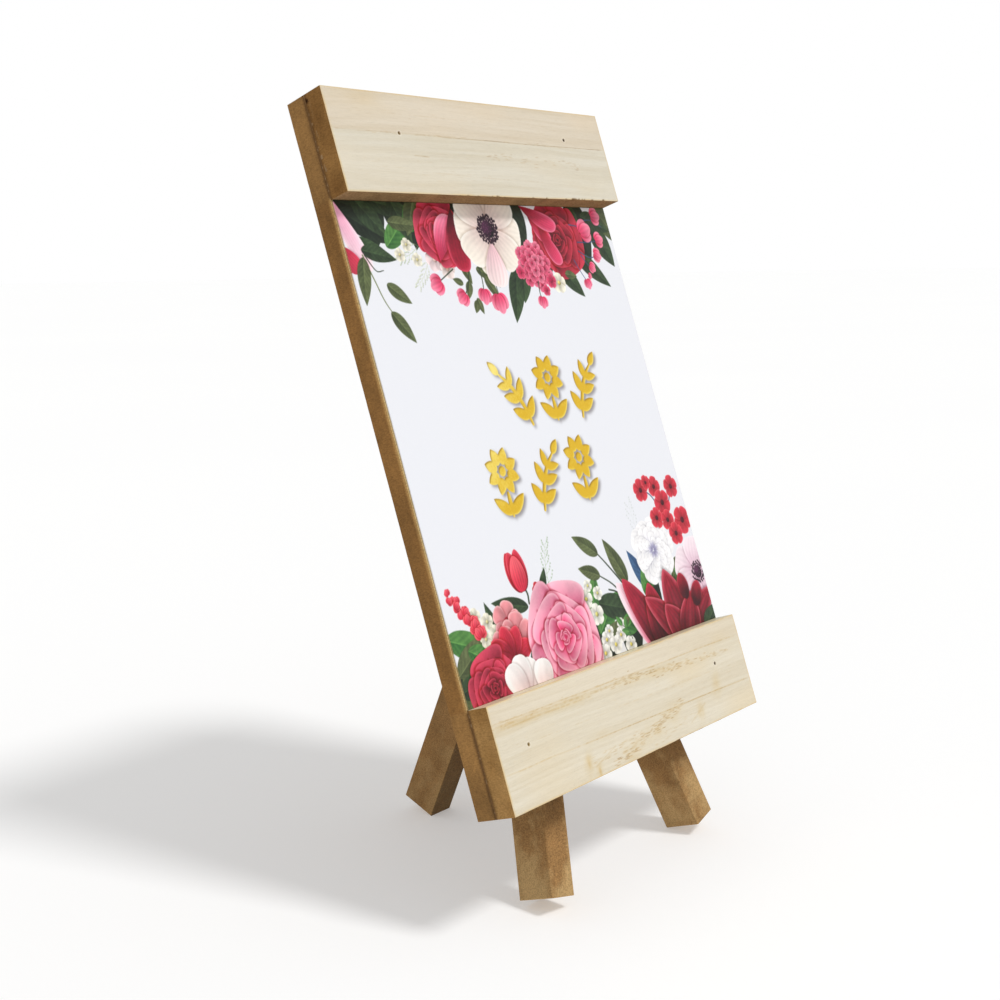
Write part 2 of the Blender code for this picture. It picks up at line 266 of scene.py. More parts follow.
def blade(canvas, at, angle, length, width, ends, bend):
    """The outline that petals and leaves share, from its foot at a place to its tip.

    ends says how its foot and its tip close: 0.5 is round and 1 is pointed. It returns the grid
    part, the share of the way along, the place across from -1 to 1, and the depth inside the edge.
    """
    part, dx, dz = canvas.window(at, math.hypot(length * (1 + abs(bend)), width / 2) * 1.02)
    turn = math.radians(angle)
    along = (dx * math.cos(turn) + dz * math.sin(turn)) / length
    across = dz * math.cos(turn) - dx * math.sin(turn) - bend * length * along * along
    inside = np.clip(along, 1e-3, 1 - 1e-3)
    foot, tip = ends
    widest = foot / (foot + tip)
    rise, fall = (inside / widest) ** foot, ((1 - inside) / (1 - widest)) ** tip
    half = width / 2 * rise * fall
    sideways = half - np.abs(across)
    to_foot = inside - widest * (2 * np.abs(across) / width / fall) ** (1 / foot)
    to_tip = 1 - inside - (1 - widest) * (2 * np.abs(across) / width / rise) ** (1 / tip)
    endways = np.abs(np.where(inside < widest, to_foot, to_tip)) * length
    depth = sideways * endways / (np.hypot(sideways, endways) + TINY)
    beyond = np.minimum(along, 1 - along) * length
    depth = np.where(beyond < 0, -np.hypot(beyond, across), depth)
    return part, inside, np.clip(across / half, -1, 1), depth


def petal(canvas, at, angle, length, width, foot, tip, rim=None, ends=(1.0, 0.42), bend=0.0,
          streaks=7, streak=0.05, side=0.08, shadow=0.4, fade=(0.05, 0.95), vein=0.0):
    """A petal shaded from foot to tip, with fine streaks, a lit rim and middle, and a shadow round it."""
    part, along, across, depth = blade(canvas, at, angle, length, width, ends, bend)
    if not depth.size:
        return
    canvas.shade(part, shadow * smooth(-0.05 * length - 0.5, 0.3, depth))
    colour = mix(foot, tip, smooth(*fade, along))
    light = 1 + side * across + streak * np.sin(across * streaks * 3 + along * 2) * (1 - along * 0.4)
    colour = colour * light[..., None]
    if rim is not None:
        lit = 0.75 * bell(depth, 0.03 * length + 0.25) * smooth(0.25, 0.7, along)
        lit = np.maximum(lit, vein * bell(across, 0.32) * smooth(0.1, 0.5, along) * (1.1 - along))
        colour = mix(colour, rim, lit)
    canvas.lay(part, edge_cover(depth), colour)


def leaf(canvas, at, angle, length, width, tones, bend=0.0):
    """A leaf with one half darker, a pale middle vein and side veins that run towards the tip."""
    part, along, across, depth = blade(canvas, at, angle, length, width, (0.62, 1.0), bend)
    if not depth.size:
        return
    canvas.shade(part, 0.3 * smooth(-0.5, 0.3, depth))
    lit = 0.25 + 0.35 * (across > 0) + 0.25 * along + 0.25 * np.abs(across) * (across < 0)
    lit += 0.08 * np.cos(2 * np.pi * LEAF_VEINS * (along - 0.22 * np.abs(across)))
    colour = mix(tones.dark, tones.light, limit(lit))
    vein = bell(across * width, 0.55) * (1 - along)
    canvas.lay(part, edge_cover(depth), mix(colour, tones.light * 1.15, limit(vein * 0.8)))


def ball(canvas, at, radius, colour, lit=0.35, opacity=1.0):
    """A berry, bud or stamen, lit from the upper left."""
    part, dx, dz = canvas.window(at, radius * 1.3 + INK_PITCH)
    far = np.hypot(dx, dz)
    light = 1 + lit * (dz - dx) / (radius * 1.6) - 0.5 * lit * (far / radius) ** 2
    canvas.lay(part, edge_cover(radius - far) * opacity, limit(colour * light[..., None]))


def stem(canvas, points, width, colour, end_width=None, opacity=1.0):
    """A line of ink through a few points, tapering towards its end."""
    route = curve_through(points)
    centre = route.mean(axis=0)
    part, dx, dz = canvas.window(centre, np.abs(route - centre).max() + width)
    widths = np.linspace(width, width if end_width is None else end_width, len(route))
    cover = np.zeros(dx.shape)
    for start, end, broad in zip(route - centre, route[1:] - centre, widths):
        far = from_segment(dx - start[0], dz - start[1], end - start)
        cover = np.maximum(cover, edge_cover(broad / 2 - far))
    canvas.lay(part, cover * opacity, colour)


# -------- flowers


def rose(canvas, at, radius, tones, turn, seed):
    """An open rose: rings of cupped petals that close up towards a rolled heart."""
    chance = np.random.default_rng(seed)
    for ring in range(ROSE_RINGS):
        share = ring / (ROSE_RINGS - 1)
        reach = radius * (1 - 0.84 * share ** 0.8)
        count = 5 if ring < ROSE_RINGS - 2 else 3
        tip = mix(tones.pale, tones.mid, 0.2 + 0.5 * share)
        foot = mix(tones.mid, tones.deep, 0.35 + 0.6 * share)
        for index in range(count):
            angle = turn + 360 * (index + 0.5 * (ring % 2)) / count + 17 * ring + chance.uniform(-9, 9)
            length = reach * chance.uniform(0.86, 1.04)
            petal(canvas, at, angle, length, length * chance.uniform(1.2, 1.55), foot, tip, tones.pale,
                  ends=(0.95, 0.4), bend=chance.uniform(-0.2, 0.2), streaks=3, streak=0.02, side=0.14,
                  shadow=0.56, fade=(0.4, 0.98))
    for step in range(ROSE_ROLLS):
        angle = turn + 110 * step
        start = polar(at, angle + 180, radius * 0.01 * (ROSE_ROLLS + 1 - step))
        petal(canvas, start, angle, radius * (0.17 - 0.018 * step), radius * (0.22 - 0.024 * step), *tones,
              ends=(0.6, 0.45), streak=0.0, shadow=0.5, fade=(0.3, 1.0))


def anemone(canvas, at, radius, turn, petals, seed, tones, broad):
    """A wide pale flower with a dark heart in a ring of stamens."""
    chance = np.random.default_rng(seed)
    for layer in (0, 1):
        for index in range(layer, petals, 2):
            angle = turn + 360 * index / petals + chance.uniform(-5, 5)
            length = radius * chance.uniform(0.9, 1.05)
            petal(canvas, at, angle, length, radius * broad, *tones, ends=(0.85, 0.34),
                  bend=chance.uniform(-0.08, 0.08), streak=0.022, side=0.03, shadow=0.3)
    tips = [polar(at, 360 * index / STAMENS + chance.uniform(-4, 4), radius * chance.uniform(0.2, 0.31))
            for index in range(STAMENS)]
    dark_heart(canvas, at, radius, tips, 0.22, 0.75, radius * 0.02 + 0.15, 0.7, 0.32)


def anemone_heart(canvas, at, radius):
    """A second heart and stamens, over the petal that was added in front."""
    count = STAMENS_IN_FRONT
    tips = [polar(at, 360 / count * index, radius * (0.17 + 0.13 * (index * 37 % count) / count))
            for index in range(count)]
    dark_heart(canvas, at, radius, tips, 0.2, 0.5, 0.52, 0.75, 0.34)


def dark_heart(canvas, at, radius, tips, breadth, opacity, dot, dim, speck):
    """A heart with pale specks, in stamens of a breadth and opacity that end in dots at their tips."""
    for tip in tips:
        stem(canvas, [at, tip], breadth, HEART, 0.12, opacity)
        ball(canvas, tip, dot, HEART * dim)
    ball(canvas, at, radius * 0.17, HEART, lit=0.6)
    for index in range(HEART_SPECKS):
        place = polar(at, GOLDEN_ANGLE * index, radius * 0.035 * math.sqrt(index))
        ball(canvas, place, speck, HEART * 1.8, opacity=0.7)


def blossom(canvas, at, radius, colour, heart, turn, rim=None):
    """A small flat flower of five petals."""
    for index in range(5):
        petal(canvas, at, turn + 360 * index / 5, radius, radius * 0.95, colour * 0.78, colour, rim,
              ends=(0.9, 0.45), streaks=2, streak=0.03, shadow=0.3)
    ball(canvas, at, radius * 0.2 + 0.1, heart)


def bud(canvas, at, angle, size, tones):
    """A closed round bud in a little green cup, growing at an angle."""
    size *= BUD_SIZE
    for lean in (50, -50):
        leaf(canvas, polar(at, angle + 180, size * 0.35), angle + lean, size * 0.9, size * 0.4, OLIVE)
    foot = polar(at, angle + 180, size * 0.5)
    for lean, width in ((32, 0.9), (-32, 0.9), (0, 0.85)):
        petal(canvas, foot, angle + lean, size * (1.15 - 0.004 * abs(lean)), size * width, tones.mid,
              tones.pale, tones.pale * 1.06, ends=(0.5, 0.55), streaks=3, shadow=0.45)


def tulip(canvas, at, angle, length, width, tones):
    """A half-open tulip from its foot: three outer petals behind and a broad one in front."""
    for lean, bend in ((20, -0.16), (-20, 0.16), (6, 0.0)):
        petal(canvas, at, angle + lean, length * 0.96, width * 0.62, *tones, ends=(0.5, 0.62), bend=bend,
              streaks=5, streak=0.07, shadow=0.5)
    petal(canvas, at, angle - 3, length * 0.84, width * 0.66, tones.mid, tones.pale, tones.pale * 1.05,
          ends=(0.45, 0.6), streaks=6, streak=0.07, shadow=0.5)


def lily(canvas, at, angle, length, width, tones, rim):
    """A large dark flower from its foot: broad pointed petals that curl outwards, the short ones in front."""
    for lean, grow, broad in ((30, 0.96, 0.42), (-32, 0.92, 0.42), (8, 1.0, 0.52), (20, 0.66, 0.44),
                              (-14, 0.7, 0.46)):
        petal(canvas, at, angle + lean, length * grow, width * broad, tones.deep, tones.mid, rim,
              ends=(0.6, 0.75), bend=lean * 0.008, streaks=6, streak=0.12, shadow=0.6, vein=0.35)


def peony(canvas, at, radius):
    """A ruffled white flower with a cool grey heart."""
    chance = np.random.default_rng(5)
    white, grey = rgb(252, 250, 250), rgb(196, 196, 214)
    for ring, (reach, count) in enumerate(((1.0, 9), (0.84, 8), (0.66, 7), (0.48, 6), (0.34, 5))):
        for index in range(count):
            angle = 360 * (index + 0.5 * (ring % 2)) / count + chance.uniform(-10, 10)
            foot = mix(grey, white, 0.25 + 0.1 * ring)
            petal(canvas, polar(at, angle, radius * 0.08), angle, radius * reach * chance.uniform(0.88, 1.0),
                  radius * reach * 0.72, foot, white, white, ends=(0.9, 0.4), streaks=4, streak=0.03,
                  side=0.05, shadow=0.2)
    for index in range(12):
        angle = GOLDEN_ANGLE * index
        petal(canvas, polar(at, angle, radius * 0.02 * index ** 0.5), angle, radius * 0.22, radius * 0.15,
              rgb(150, 146, 176), rgb(214, 212, 226), white, ends=(0.8, 0.45), shadow=0.3)


def sprig(canvas, points, width, colour, leaves, tones):
    """A stem with leaves: each is (share of the way along, angle, length, width)."""
    stem(canvas, points, width, colour, width * 0.5)
    route = curve_through(points)
    for share, angle, length, breadth in leaves:
        leaf(canvas, route[round(share * (len(route) - 1))], angle, length, breadth, tones, bend=0.06)


def fern(canvas, foot, angle, length, colour, seed, opacity):
    """A faint feathery spray in the background."""
    chance = np.random.default_rng(seed)
    points = [foot, polar(foot, angle + 6, length * 0.55), polar(foot, angle, length)]
    stem(canvas, points, 0.35, colour, 0.15, opacity)
    for index, place in enumerate(curve_through(points)[4::2]):
        side = 46 if index % 2 else -46
        far = length * (0.3 - 0.012 * index) * chance.uniform(0.8, 1.1)
        twig = [place, polar(place, angle + side, far * 0.6), polar(place, angle + side * 0.6, far)]
        stem(canvas, twig, 0.25, colour, 0.12, opacity)
        for along in (0.5, 0.75, 1.0):
            seed_place = polar(place, angle + side * (1.1 - 0.4 * along), far * along)
            ball(canvas, seed_place, 0.36, colour, opacity=opacity)


def cluster(canvas, at, radius, tones, count, size, seed):
    """A round head of small blossoms."""
    chance = np.random.default_rng(seed)
    for index in range(count, 0, -1):
        place = polar(at, GOLDEN_ANGLE * index, radius * math.sqrt((index - 0.5) / count))
        colour = mix(tones.mid, tones.pale, chance.uniform(0.15, 0.95))
        blossom(canvas, place, size * chance.uniform(0.85, 1.15), colour, tones.deep, chance.uniform(0, 90),
                tones.pale)


# -------- the two bouquets


def leaves(canvas, *rows):
    """Leaves from the back to the front: each is (across, up, angle, length, width, tones)."""
    for across, up, angle, length, width, tones in rows:
        leaf(canvas, (across, up), angle, length, width, tones)


def buds(canvas, tones, *rows):
    """Buds: each is (across, up, angle, size)."""
    for across, up, angle, size in rows:
        bud(canvas, (across, up), angle, size, tones)


def blossoms(canvas, colour, heart, *rows, turn=0, spin=0, rim=None):
    """Blossoms: each is (across, up, radius), turned by spin degrees for each millimetre of radius."""
    for across, up, radius in rows:
        blossom(canvas, (across, up), radius, colour, heart, turn + spin * radius, rim)


def stems(canvas, width, colour, end_width, *routes):
    for points in routes:
        stem(canvas, points, width, colour, end_width)


def paint_top(canvas):
    """The bouquet that hangs from the top bar, from the back to the front."""
    leaves(
        canvas,
        (-4, 232, -18, 30, 13, DEEP), (20, 234, -100, 24, 13, DEEP), (30, 234, -78, 22, 14, DEEP),
        (44, 234, -104, 24, 13, DEEP), (66, 234, -84, 24, 12, DEEP), (2, 226, -28, 27, 10, DEEP),
        (10, 232, -50, 22, 10, DARK), (16, 231, -12, 26, 9, DARK), (22, 212, 40, 24, 9, GREEN),
        (30, 232, -70, 20, 9, DARK), (37, 218, 70, 16, 8, GREEN), (5, 215, -22, 21, 6.5, DARK),
        (44, 232, -120, 18, 8, OLIVE), (26, 222, -6, 16, 6, OLIVE),
    )
    fern(canvas, (42, 214), 205, 16, rgb(172, 190, 140), 11, 0.45)
    fern(canvas, (44, 208), 228, 15, rgb(186, 196, 150), 12, 0.4)
    blossoms(canvas, CREAM, rgb(206, 196, 140), (33, 213, 2.8), (28, 209, 2.8), (37, 207, 2.8), turn=20)
    blossom(canvas, (47, 207), 5.2, rgb(250, 226, 226), rgb(226, 190, 180), 30)
    blossom(canvas, (53, 203), 4.2, rgb(250, 232, 226), rgb(226, 196, 180), 10)
    petal(canvas, (-3, 234), -70, 34, 8.5, rgb(238, 158, 188), rgb(251, 214, 226), rgb(255, 238, 242),
          bend=0.06, streak=0.02)
    petal(canvas, (-5, 214), -48, 15, 8, rgb(150, 24, 48), rgb(208, 60, 84))
    sprig(canvas, [(8, 209), (11, 199), (14, 190), (20, 181)], 0.7, OLIVE.light,
          [(0.02, 252, 19, 6.8)], OLIVE)
    stem(canvas, [(9, 209), (13, 203), (17, 203)], 0.6, STEM_DARK, 0.3)
    leaf(canvas, (16.8, 197.8), -39, 13.5, 5.6, OLIVE, bend=0.05)
    leaf(canvas, (15.2, 187), -50, 15.5, 6, OLIVE, bend=-0.05)
    leaf(canvas, (8, 211), -10, 18, 6.5, DARK, bend=-0.05)
    leaves(
        canvas,
        (104, 234, -96, 30, 14, DEEP), (116, 212, -96, 16, 12, DEEP), (146, 234, -84, 30, 14, DEEP),
        (96, 203, 248, 25, 9.5, DARK), (101, 205, 252, 18, 9, DARK), (124, 205, -48, 21, 9, DARK),
        (138, 210, -38, 27, 9, DARK), (156, 222, -62, 22, 12, DARK), (160, 232, -50, 26, 12, OLIVE),
        (150, 226, -20, 20, 9, DARK), (62, 206, -70, 10, 4.5, OLIVE), (70, 203, -20, 12, 5, OLIVE),
        (64, 198, -112, 8, 4, OLIVE), (66, 190, 240, 6, 3.6, OLIVE), (66, 191, -75, 7, 3.4, OLIVE),
        (74, 200, -60, 12, 4.5, OLIVE), (60, 197, 160, 6, 3, OLIVE), (78, 204, -66, 10, 4, OLIVE),
        (100, 226, -100, 18, 8, DARK), (142, 232, -80, 18, 9, DARK),
    )
    stems(canvas, 0.6, STEM_DARK, 0.4, [(56, 203), (50, 200), (46, 198)], [(66, 204), (63, 197), (59, 192)],
          [(72, 204), (72, 198), (71, 193)], [(75, 206), (79, 199), (80, 192)])
    buds(canvas, PINK, (44.5, 197, 200, 7.4), (57.6, 191.4, 215, 6.4), (71.2, 191.6, 262, 6.8),
         (79.6, 188.6, 275, 8.6))
    paint_top_flowers(canvas)


def paint_top_flowers(canvas):
    """The top bouquet's large flowers, and the buds to their right."""
    rose(canvas, (54, 218), 14.5, ROSE_RED, 20, seed=21)
    petal(canvas, (50, 206), 68, 22, 11, rgb(190, 40, 76), rgb(240, 130, 160), rgb(250, 176, 192), bend=-0.16)
    petal(canvas, (64, 228), -100, 26, 12, *ROSE_RED, bend=0.12)
    rose(canvas, (129, 215), 17.5, CRIMSON, 10, seed=8)
    for place, angle, length in (((112, 228), -58, 18), ((118, 222), -70, 20), ((108, 230), -30, 24)):
        petal(canvas, place, angle, length, 8, CRIMSON.mid, PINK.mid, PINK.pale, bend=0.12)
    leaf(canvas, (128, 200), -10, 8, 4, OLIVE)
    blossom(canvas, (122, 196), 4.6, rgb(252, 246, 226), rgb(226, 206, 120), 12)
    anemone(canvas, (84, 219.5), 21.5, turn=-6, petals=8, seed=3, tones=BLUSH, broad=0.74)
    petal(canvas, (84, 214), -96, 19, 13, rgb(232, 190, 196), rgb(250, 226, 224), rgb(255, 240, 238),
          streaks=6)
    anemone_heart(canvas, (84, 219.5), 21.5)
    cluster(canvas, (108, 204), 9.5, PINK, 26, 3, seed=4)
    blossoms(canvas, PINK.mid, PINK.deep, (98, 201, 3), (117, 197, 3.4), (112, 193, 2.6), turn=15,
             rim=PINK.pale)
    stem(canvas, [(108, 197), (107, 192), (107.5, 189)], 0.5, STEM_DARK)
    bud(canvas, (107.6, 188), 262, 5.4, PINK)
    stems(canvas, 0.5, STEM_BLUE, 0.35, [(140, 222), (147, 221), (152, 219)],
          [(143, 214), (152, 214), (160, 215)], [(142, 210), (149, 207), (155, 208)],
          [(137, 206), (140, 200), (142.6, 196)], [(143, 208), (146, 204), (149, 202)],
          [(150, 224), (158, 224), (164, 221)])
    buds(canvas, PINK, (150.5, 219.4, 20, 9), (159.4, 215.2, 10, 6.2), (155, 208, -20, 5.8),
         (149, 202.4, -40, 4.6), (142.8, 195.2, -80, 4.8), (161, 226, 0, 7), (145.6, 198.6, -30, 2.6))


def paint_bottom(canvas):
    """The bouquet that grows from the bottom bar, from the back to the front."""
    fern(canvas, (62, 72), 76, 19, rgb(150, 180, 128), 31, 0.5)
    fern(canvas, (132, 76), 100, 22, rgb(206, 214, 206), 32, 0.35)
    leaves(
        canvas,
        (30, 36, 92, 32, 15, DEEP), (44, 36, 76, 26, 14, DEEP), (90, 36, 96, 30, 14, DEEP),
        (104, 36, 76, 28, 14, DEEP), (162, 36, 84, 24, 14, DEEP), (118, 36, 62, 34, 14, DEEP),
        (-4, 38, 52, 24, 12, DEEP), (-3, 44, 12, 18, 12, DEEP), (1, 34, 78, 22, 10, OLIVE),
        (-2, 66, -22, 30, 11, GREEN), (0, 52, 30, 24, 10, OLIVE), (-2, 46, 8, 22, 9, DARK),
        (8, 60, -30, 26, 10, GREEN), (28, 56, 105, 20, 6, DARK), (47, 69, 166, 21, 6.4, DARK),
        (57, 72, 62, 11, 4.2, DARK), (84, 56, 66, 20, 9, GREEN), (86, 50, 40, 22, 10, GREEN),
        (92, 58, 4, 26, 11, GREEN), (90, 62, -18, 28, 11, DARK), (100, 48, 16, 22, 9, GREEN),
        (84, 44, 20, 26, 9, OLIVE), (128, 60, 118, 22, 7.5, BLUE), (124, 58, 70, 20, 9, GREEN),
        (140, 58, 40, 22, 10, OLIVE), (150, 46, 30, 22, 9, DARK), (154, 40, 12, 20, 9, DARK),
        (148, 66, -30, 22, 10, GREEN),
    )
    for points, breadth, share, angle, length, width in (
        ([(110, 66), (103, 75), (97, 82), (92, 87)], 0.9, 0.62, 142, 17, 6.6),
        ([(108, 62), (102, 68), (96, 72), (93, 74)], 0.8, 0.7, 154, 14, 6),
        ([(112, 60), (113, 66), (110.5, 70)], 0.8, 0.6, 112, 22, 8),
    ):
        sprig(canvas, points, breadth, STEM_DARK, ((share, angle, length, width),), OLIVE)
    stem(canvas, [(112, 58), (104, 64), (99, 66)], 0.7, STEM_DARK)
    paint_bottom_left(canvas)
    paint_bottom_right(canvas)


def paint_bottom_left(canvas):
    """The bottom bouquet's flowers up to the pink rose and the sprigs beside it."""
    blossoms(canvas, CREAM, rgb(214, 204, 150), (16, 71, 3.4), (22, 68, 3.4), (25, 63, 3.4), (19, 62, 3.4),
             turn=14)
    for index in range(16):
        share = index / 15
        across = 5 + 12.5 * share + 1.6 * math.sin(index * 2.4)
        up = 81 - 16 * share + 1.2 * math.cos(index * 2.4)
        bud(canvas, (across, up), 118 - 40 * (index % 3), 2.8 + 1.8 * share, CORAL)
    blossoms(canvas, rgb(240, 150, 156), CORAL.deep, (33, 66, 8), (37, 60, 9), (29, 57, 8), spin=9,
             rim=rgb(252, 206, 206))
    for angle in (20, 62, 100, 140, 180):
        petal(canvas, (31, 52), angle, 13, 8, *CORAL, ends=(0.6, 0.6))
    stem(canvas, [(48, 70), (48.4, 74), (46.5, 78)], 0.9, STEM_DARK)
    tulip(canvas, (46.5, 75), 97, 17, 13, CORAL)
    bud(canvas, (55, 74.6), 110, 5.4, CORAL)
    rose(canvas, (17, 44), 14, ROSE_RED, 40, seed=13)

    blossoms(canvas, rgb(250, 248, 236), rgb(214, 206, 120), (83, 65, 4), (87, 58, 4.6), (80, 59, 3.6),
             (91, 66, 3), (86, 70, 2.6), spin=20)
    blossoms(canvas, rgb(254, 252, 246), rgb(226, 210, 110), (89, 47, 3.6), (94, 44, 4), (99, 47, 3.4),
             (104, 42, 3.8), (86, 42, 4), (92, 50, 2.8), (101, 51, 2.8), spin=30)
    rose(canvas, (64, 53.5), 22.5, ROSE_PINK, 8, seed=2)
    for place, angle, length in (((34, 37), 64, 15), ((34, 37), 92, 16), ((34, 37), 122, 15),
                                 ((45, 36), 84, 13)):
        petal(canvas, place, angle, length, 11, *WHITE, ends=(0.6, 0.42), streaks=3, streak=0.015)
    for place, angle in (((108, 50), 60), ((112, 46), 40), ((106, 44), 110)):
        sprig(canvas, [place, polar(place, angle, 4), polar(place, angle + 15, 8)], 0.5, STEM_DARK,
              ((0.4, angle + 50, 5, 2.6), (0.7, angle - 40, 5, 2.6), (0.98, angle + 10, 5, 2.8)), GREEN)


def paint_bottom_right(canvas):
    """The bottom bouquet's flowers from the peony and the dark lily to the berries."""
    anemone(canvas, (165.5, 62), 16.5, turn=25, petals=6, seed=9, tones=LILAC, broad=0.95)
    peony(canvas, (137, 76.5), 14.5)
    petal(canvas, (127, 33), 117, 41, 15, rgb(244, 150, 176), rgb(252, 214, 224), rgb(255, 238, 242),
          ends=(0.5, 0.7), bend=0.1)
    petal(canvas, (128, 33), 113, 40, 14, CRIMSON.deep, ROSE_RED.mid, CRIMSON.pale, ends=(0.5, 0.7),
          bend=0.08, streaks=6, streak=0.1, vein=0.3)
    petal(canvas, (129, 33), 98, 31, 15, *CRIMSON, ends=(0.5, 0.7), bend=-0.05, streaks=6, streak=0.1,
          shadow=0.6)
    lily(canvas, (146, 31), 88, 37, 34, CRIMSON, rgb(224, 104, 118))
    for place, angle in (((157, 48), 60), ((152, 52), 96)):
        petal(canvas, place, angle, 12, 8, *CRIMSON, ends=(0.6, 0.6))
    leaf(canvas, (160, 38), 30, 16, 8, DARK)
    stem(canvas, [(160, 80), (156, 90), (160, 98), (162, 101)], 0.6, STEM_BLUE)
    stem(canvas, [(156, 84), (150, 92), (146, 99), (140, 103)], 0.6, STEM_BLUE)
    blossoms(canvas, rgb(218, 52, 70), rgb(84, 20, 34), (139.3, 102.6, 5.2), (149.6, 102.9, 4.8),
             (162.4, 101.4, 5.2), (152.9, 95.4, 6), (145.7, 89.4, 4.8), (153.4, 87.4, 4.8),
             (164.4, 85.8, 6.4), (157, 80.8, 5.2), (144.4, 105.4, 3.4), spin=31, rim=rgb(240, 104, 112))


# -------- the gold ornament

# The motifs' places. A lit sweep runs down each row from its upper left; the rows part at a height.
BRANCHES = (((74, 151.5), -1), ((119, 151.5), 1), ((78, 117), 1))
FLOWERS = ((96.5, 152), (53, 117.5), (103, 117.5))
ROWS_PART = 134
UPPER_ROW = (60, 166)
LOWER_ROW = (39, 132)
SWEEP_BREADTH = 24
GOLD_DROP = 0.9
GOLD_HAZE = 0.7


class Ornament:
    """The outlines of the gold motifs: how much of each grid point they cover."""

    def __init__(self, canvas):
        self.canvas = canvas
        self.field = np.zeros(canvas.covered.shape)

    def add(self, part, depth):
        self.field[part] = np.maximum(self.field[part], edge_cover(depth))

    def swash(self, points, broad):
        """A stroke that swells in its middle."""
        route = curve_through(points)
        for index, (start, end) in enumerate(zip(route, route[1:])):
            share = index / (len(route) - 2)
            half = broad / 2 * (0.35 + 0.65 * math.sin(math.pi * min(1, share * 0.8 + 0.14)))
            part, dx, dz = self.canvas.window(start, np.hypot(*(end - start)) + half + 1)
            self.add(part, half - from_segment(dx, dz, end - start))

    def leaf(self, at, angle, length, width):
        part, _, _, depth = blade(self.canvas, at, angle, length, width, (0.6, 0.85), 0.0)
        self.add(part, depth)

    def branch(self, at, side):
        """An upright branch that curves to one side, with paired leaves that shrink towards its tip."""
        points = [(at[0] + side * x, at[1] + z) for x, z in ((-5.5, -13.5), (-2.5, -5), (2.5, 3), (8, 8))]
        self.swash(points, 2.2)
        route = curve_through(points)
        for share, length in ((0.12, 9.5), (0.42, 9.0), (0.7, 7.6)):
            index = round(share * (len(route) - 2))
            way = route[index + 1] - route[index]
            heading = math.degrees(math.atan2(way[1], way[0]))
            for lean in (-48, 48):
                self.leaf(route[index], heading + lean, length * 1.06, length * 0.5)
        self.leaf(points[-1], 90 - side * 42, 7.4, 4.0)

    def flower(self, at):
        """An open flower of eight petals on a short stem between two leaves."""
        head = (at[0], at[1] + 4.2)
        for angle in np.arange(22.5, 360, 45):
            self.leaf(polar(head, angle, 2.7), angle, 7.2, 5.0)
        part, dx, dz = self.canvas.window(head, 3.1)
        self.add(part, 2.1 - np.hypot(dx, dz))
        self.swash([(at[0], at[1] - down) for down in (4.6, 9, 13.6)], 2.4)
        for side in (-1, 1):
            self.leaf((at[0], at[1] - 12.8), 90 - side * 52, 11.5, 5.0)


def paint_ornament(canvas):
    """Two rows of gold motifs, slightly raised to the eye, over a soft shadow."""
    ornament = Ornament(canvas)
    for at, side in BRANCHES:
        ornament.branch(at, side)
    for at in FLOWERS:
        ornament.flower(at)
    drop = round(GOLD_DROP / INK_PITCH)
    shadow = np.roll(blur(ornament.field, GOLD_HAZE / INK_PITCH), (-drop, drop), axis=(0, 1))
    everywhere = (slice(None), slice(None))
    canvas.lay(everywhere, 0.62 * limit(shadow), rgb(92, 84, 84))

    grid_x, grid_z = np.meshgrid(canvas.x, canvas.z)
    soft = blur(ornament.field, 1.6)
    relief = np.roll(soft, (1, -1), axis=(0, 1)) - np.roll(soft, (-1, 1), axis=(0, 1))
    row_left, row_top = np.where(grid_z > ROWS_PART, *np.array([UPPER_ROW, LOWER_ROW])[:, :, None, None])
    lit = bell(grid_x - row_left + (row_top - grid_z) * 0.9, SWEEP_BREADTH)
    lit += 0.16 * noise(grid_x, grid_z, 0.5, 0.5, 5) + 0.12 * noise(grid_x, grid_z, 7, 5, 6)
    colour = mix(GOLD, GOLD_LIGHT, limit(lit))
    colour = mix(colour, GOLD_DARK, np.clip(relief * 1.6, 0, 0.8))
    colour = mix(colour, GOLD_LIGHT, np.clip(-relief * 1.3, 0, 0.7))
    canvas.lay(everywhere, ornament.field, colour)


def paint_print(canvas):
    """The whole print: both bouquets, an uneven wash over them, and the gold."""
    paint_top(canvas)
    paint_bottom(canvas)
    grid_x, grid_z = np.meshgrid(canvas.x, canvas.z)
    wash = 0.16 * noise(grid_x, grid_z, 2.4, 2.4, 81) + 0.1 * noise(grid_x, grid_z, 0.7, 0.7, 82)
    wash *= canvas.covered * (1.05 - canvas.colour.max(axis=-1))
    canvas.colour *= 1 + wash[..., None]
    paint_ornament(canvas)


# ======== meshes


def grid_lines(low, high, pitch, radius, fine=()):
    """Places of the grid lines from one face to the other, closer on rounded edges and at fine spots."""
    edge = radius * np.array((0, 0.12, 0.35, 0.65, 1))
    even = np.linspace(low + radius, high - radius, round((high - low - 2 * radius) / pitch) + 1)
    spots = [np.arange(place - FINE_REACH, place + FINE_REACH, FINE_PITCH) for place in fine]
    found = np.sort(np.concatenate([low + edge, high - edge, even, *spots]))
    return found[np.concatenate([[True], np.diff(found) > SMALLEST_STEP])]


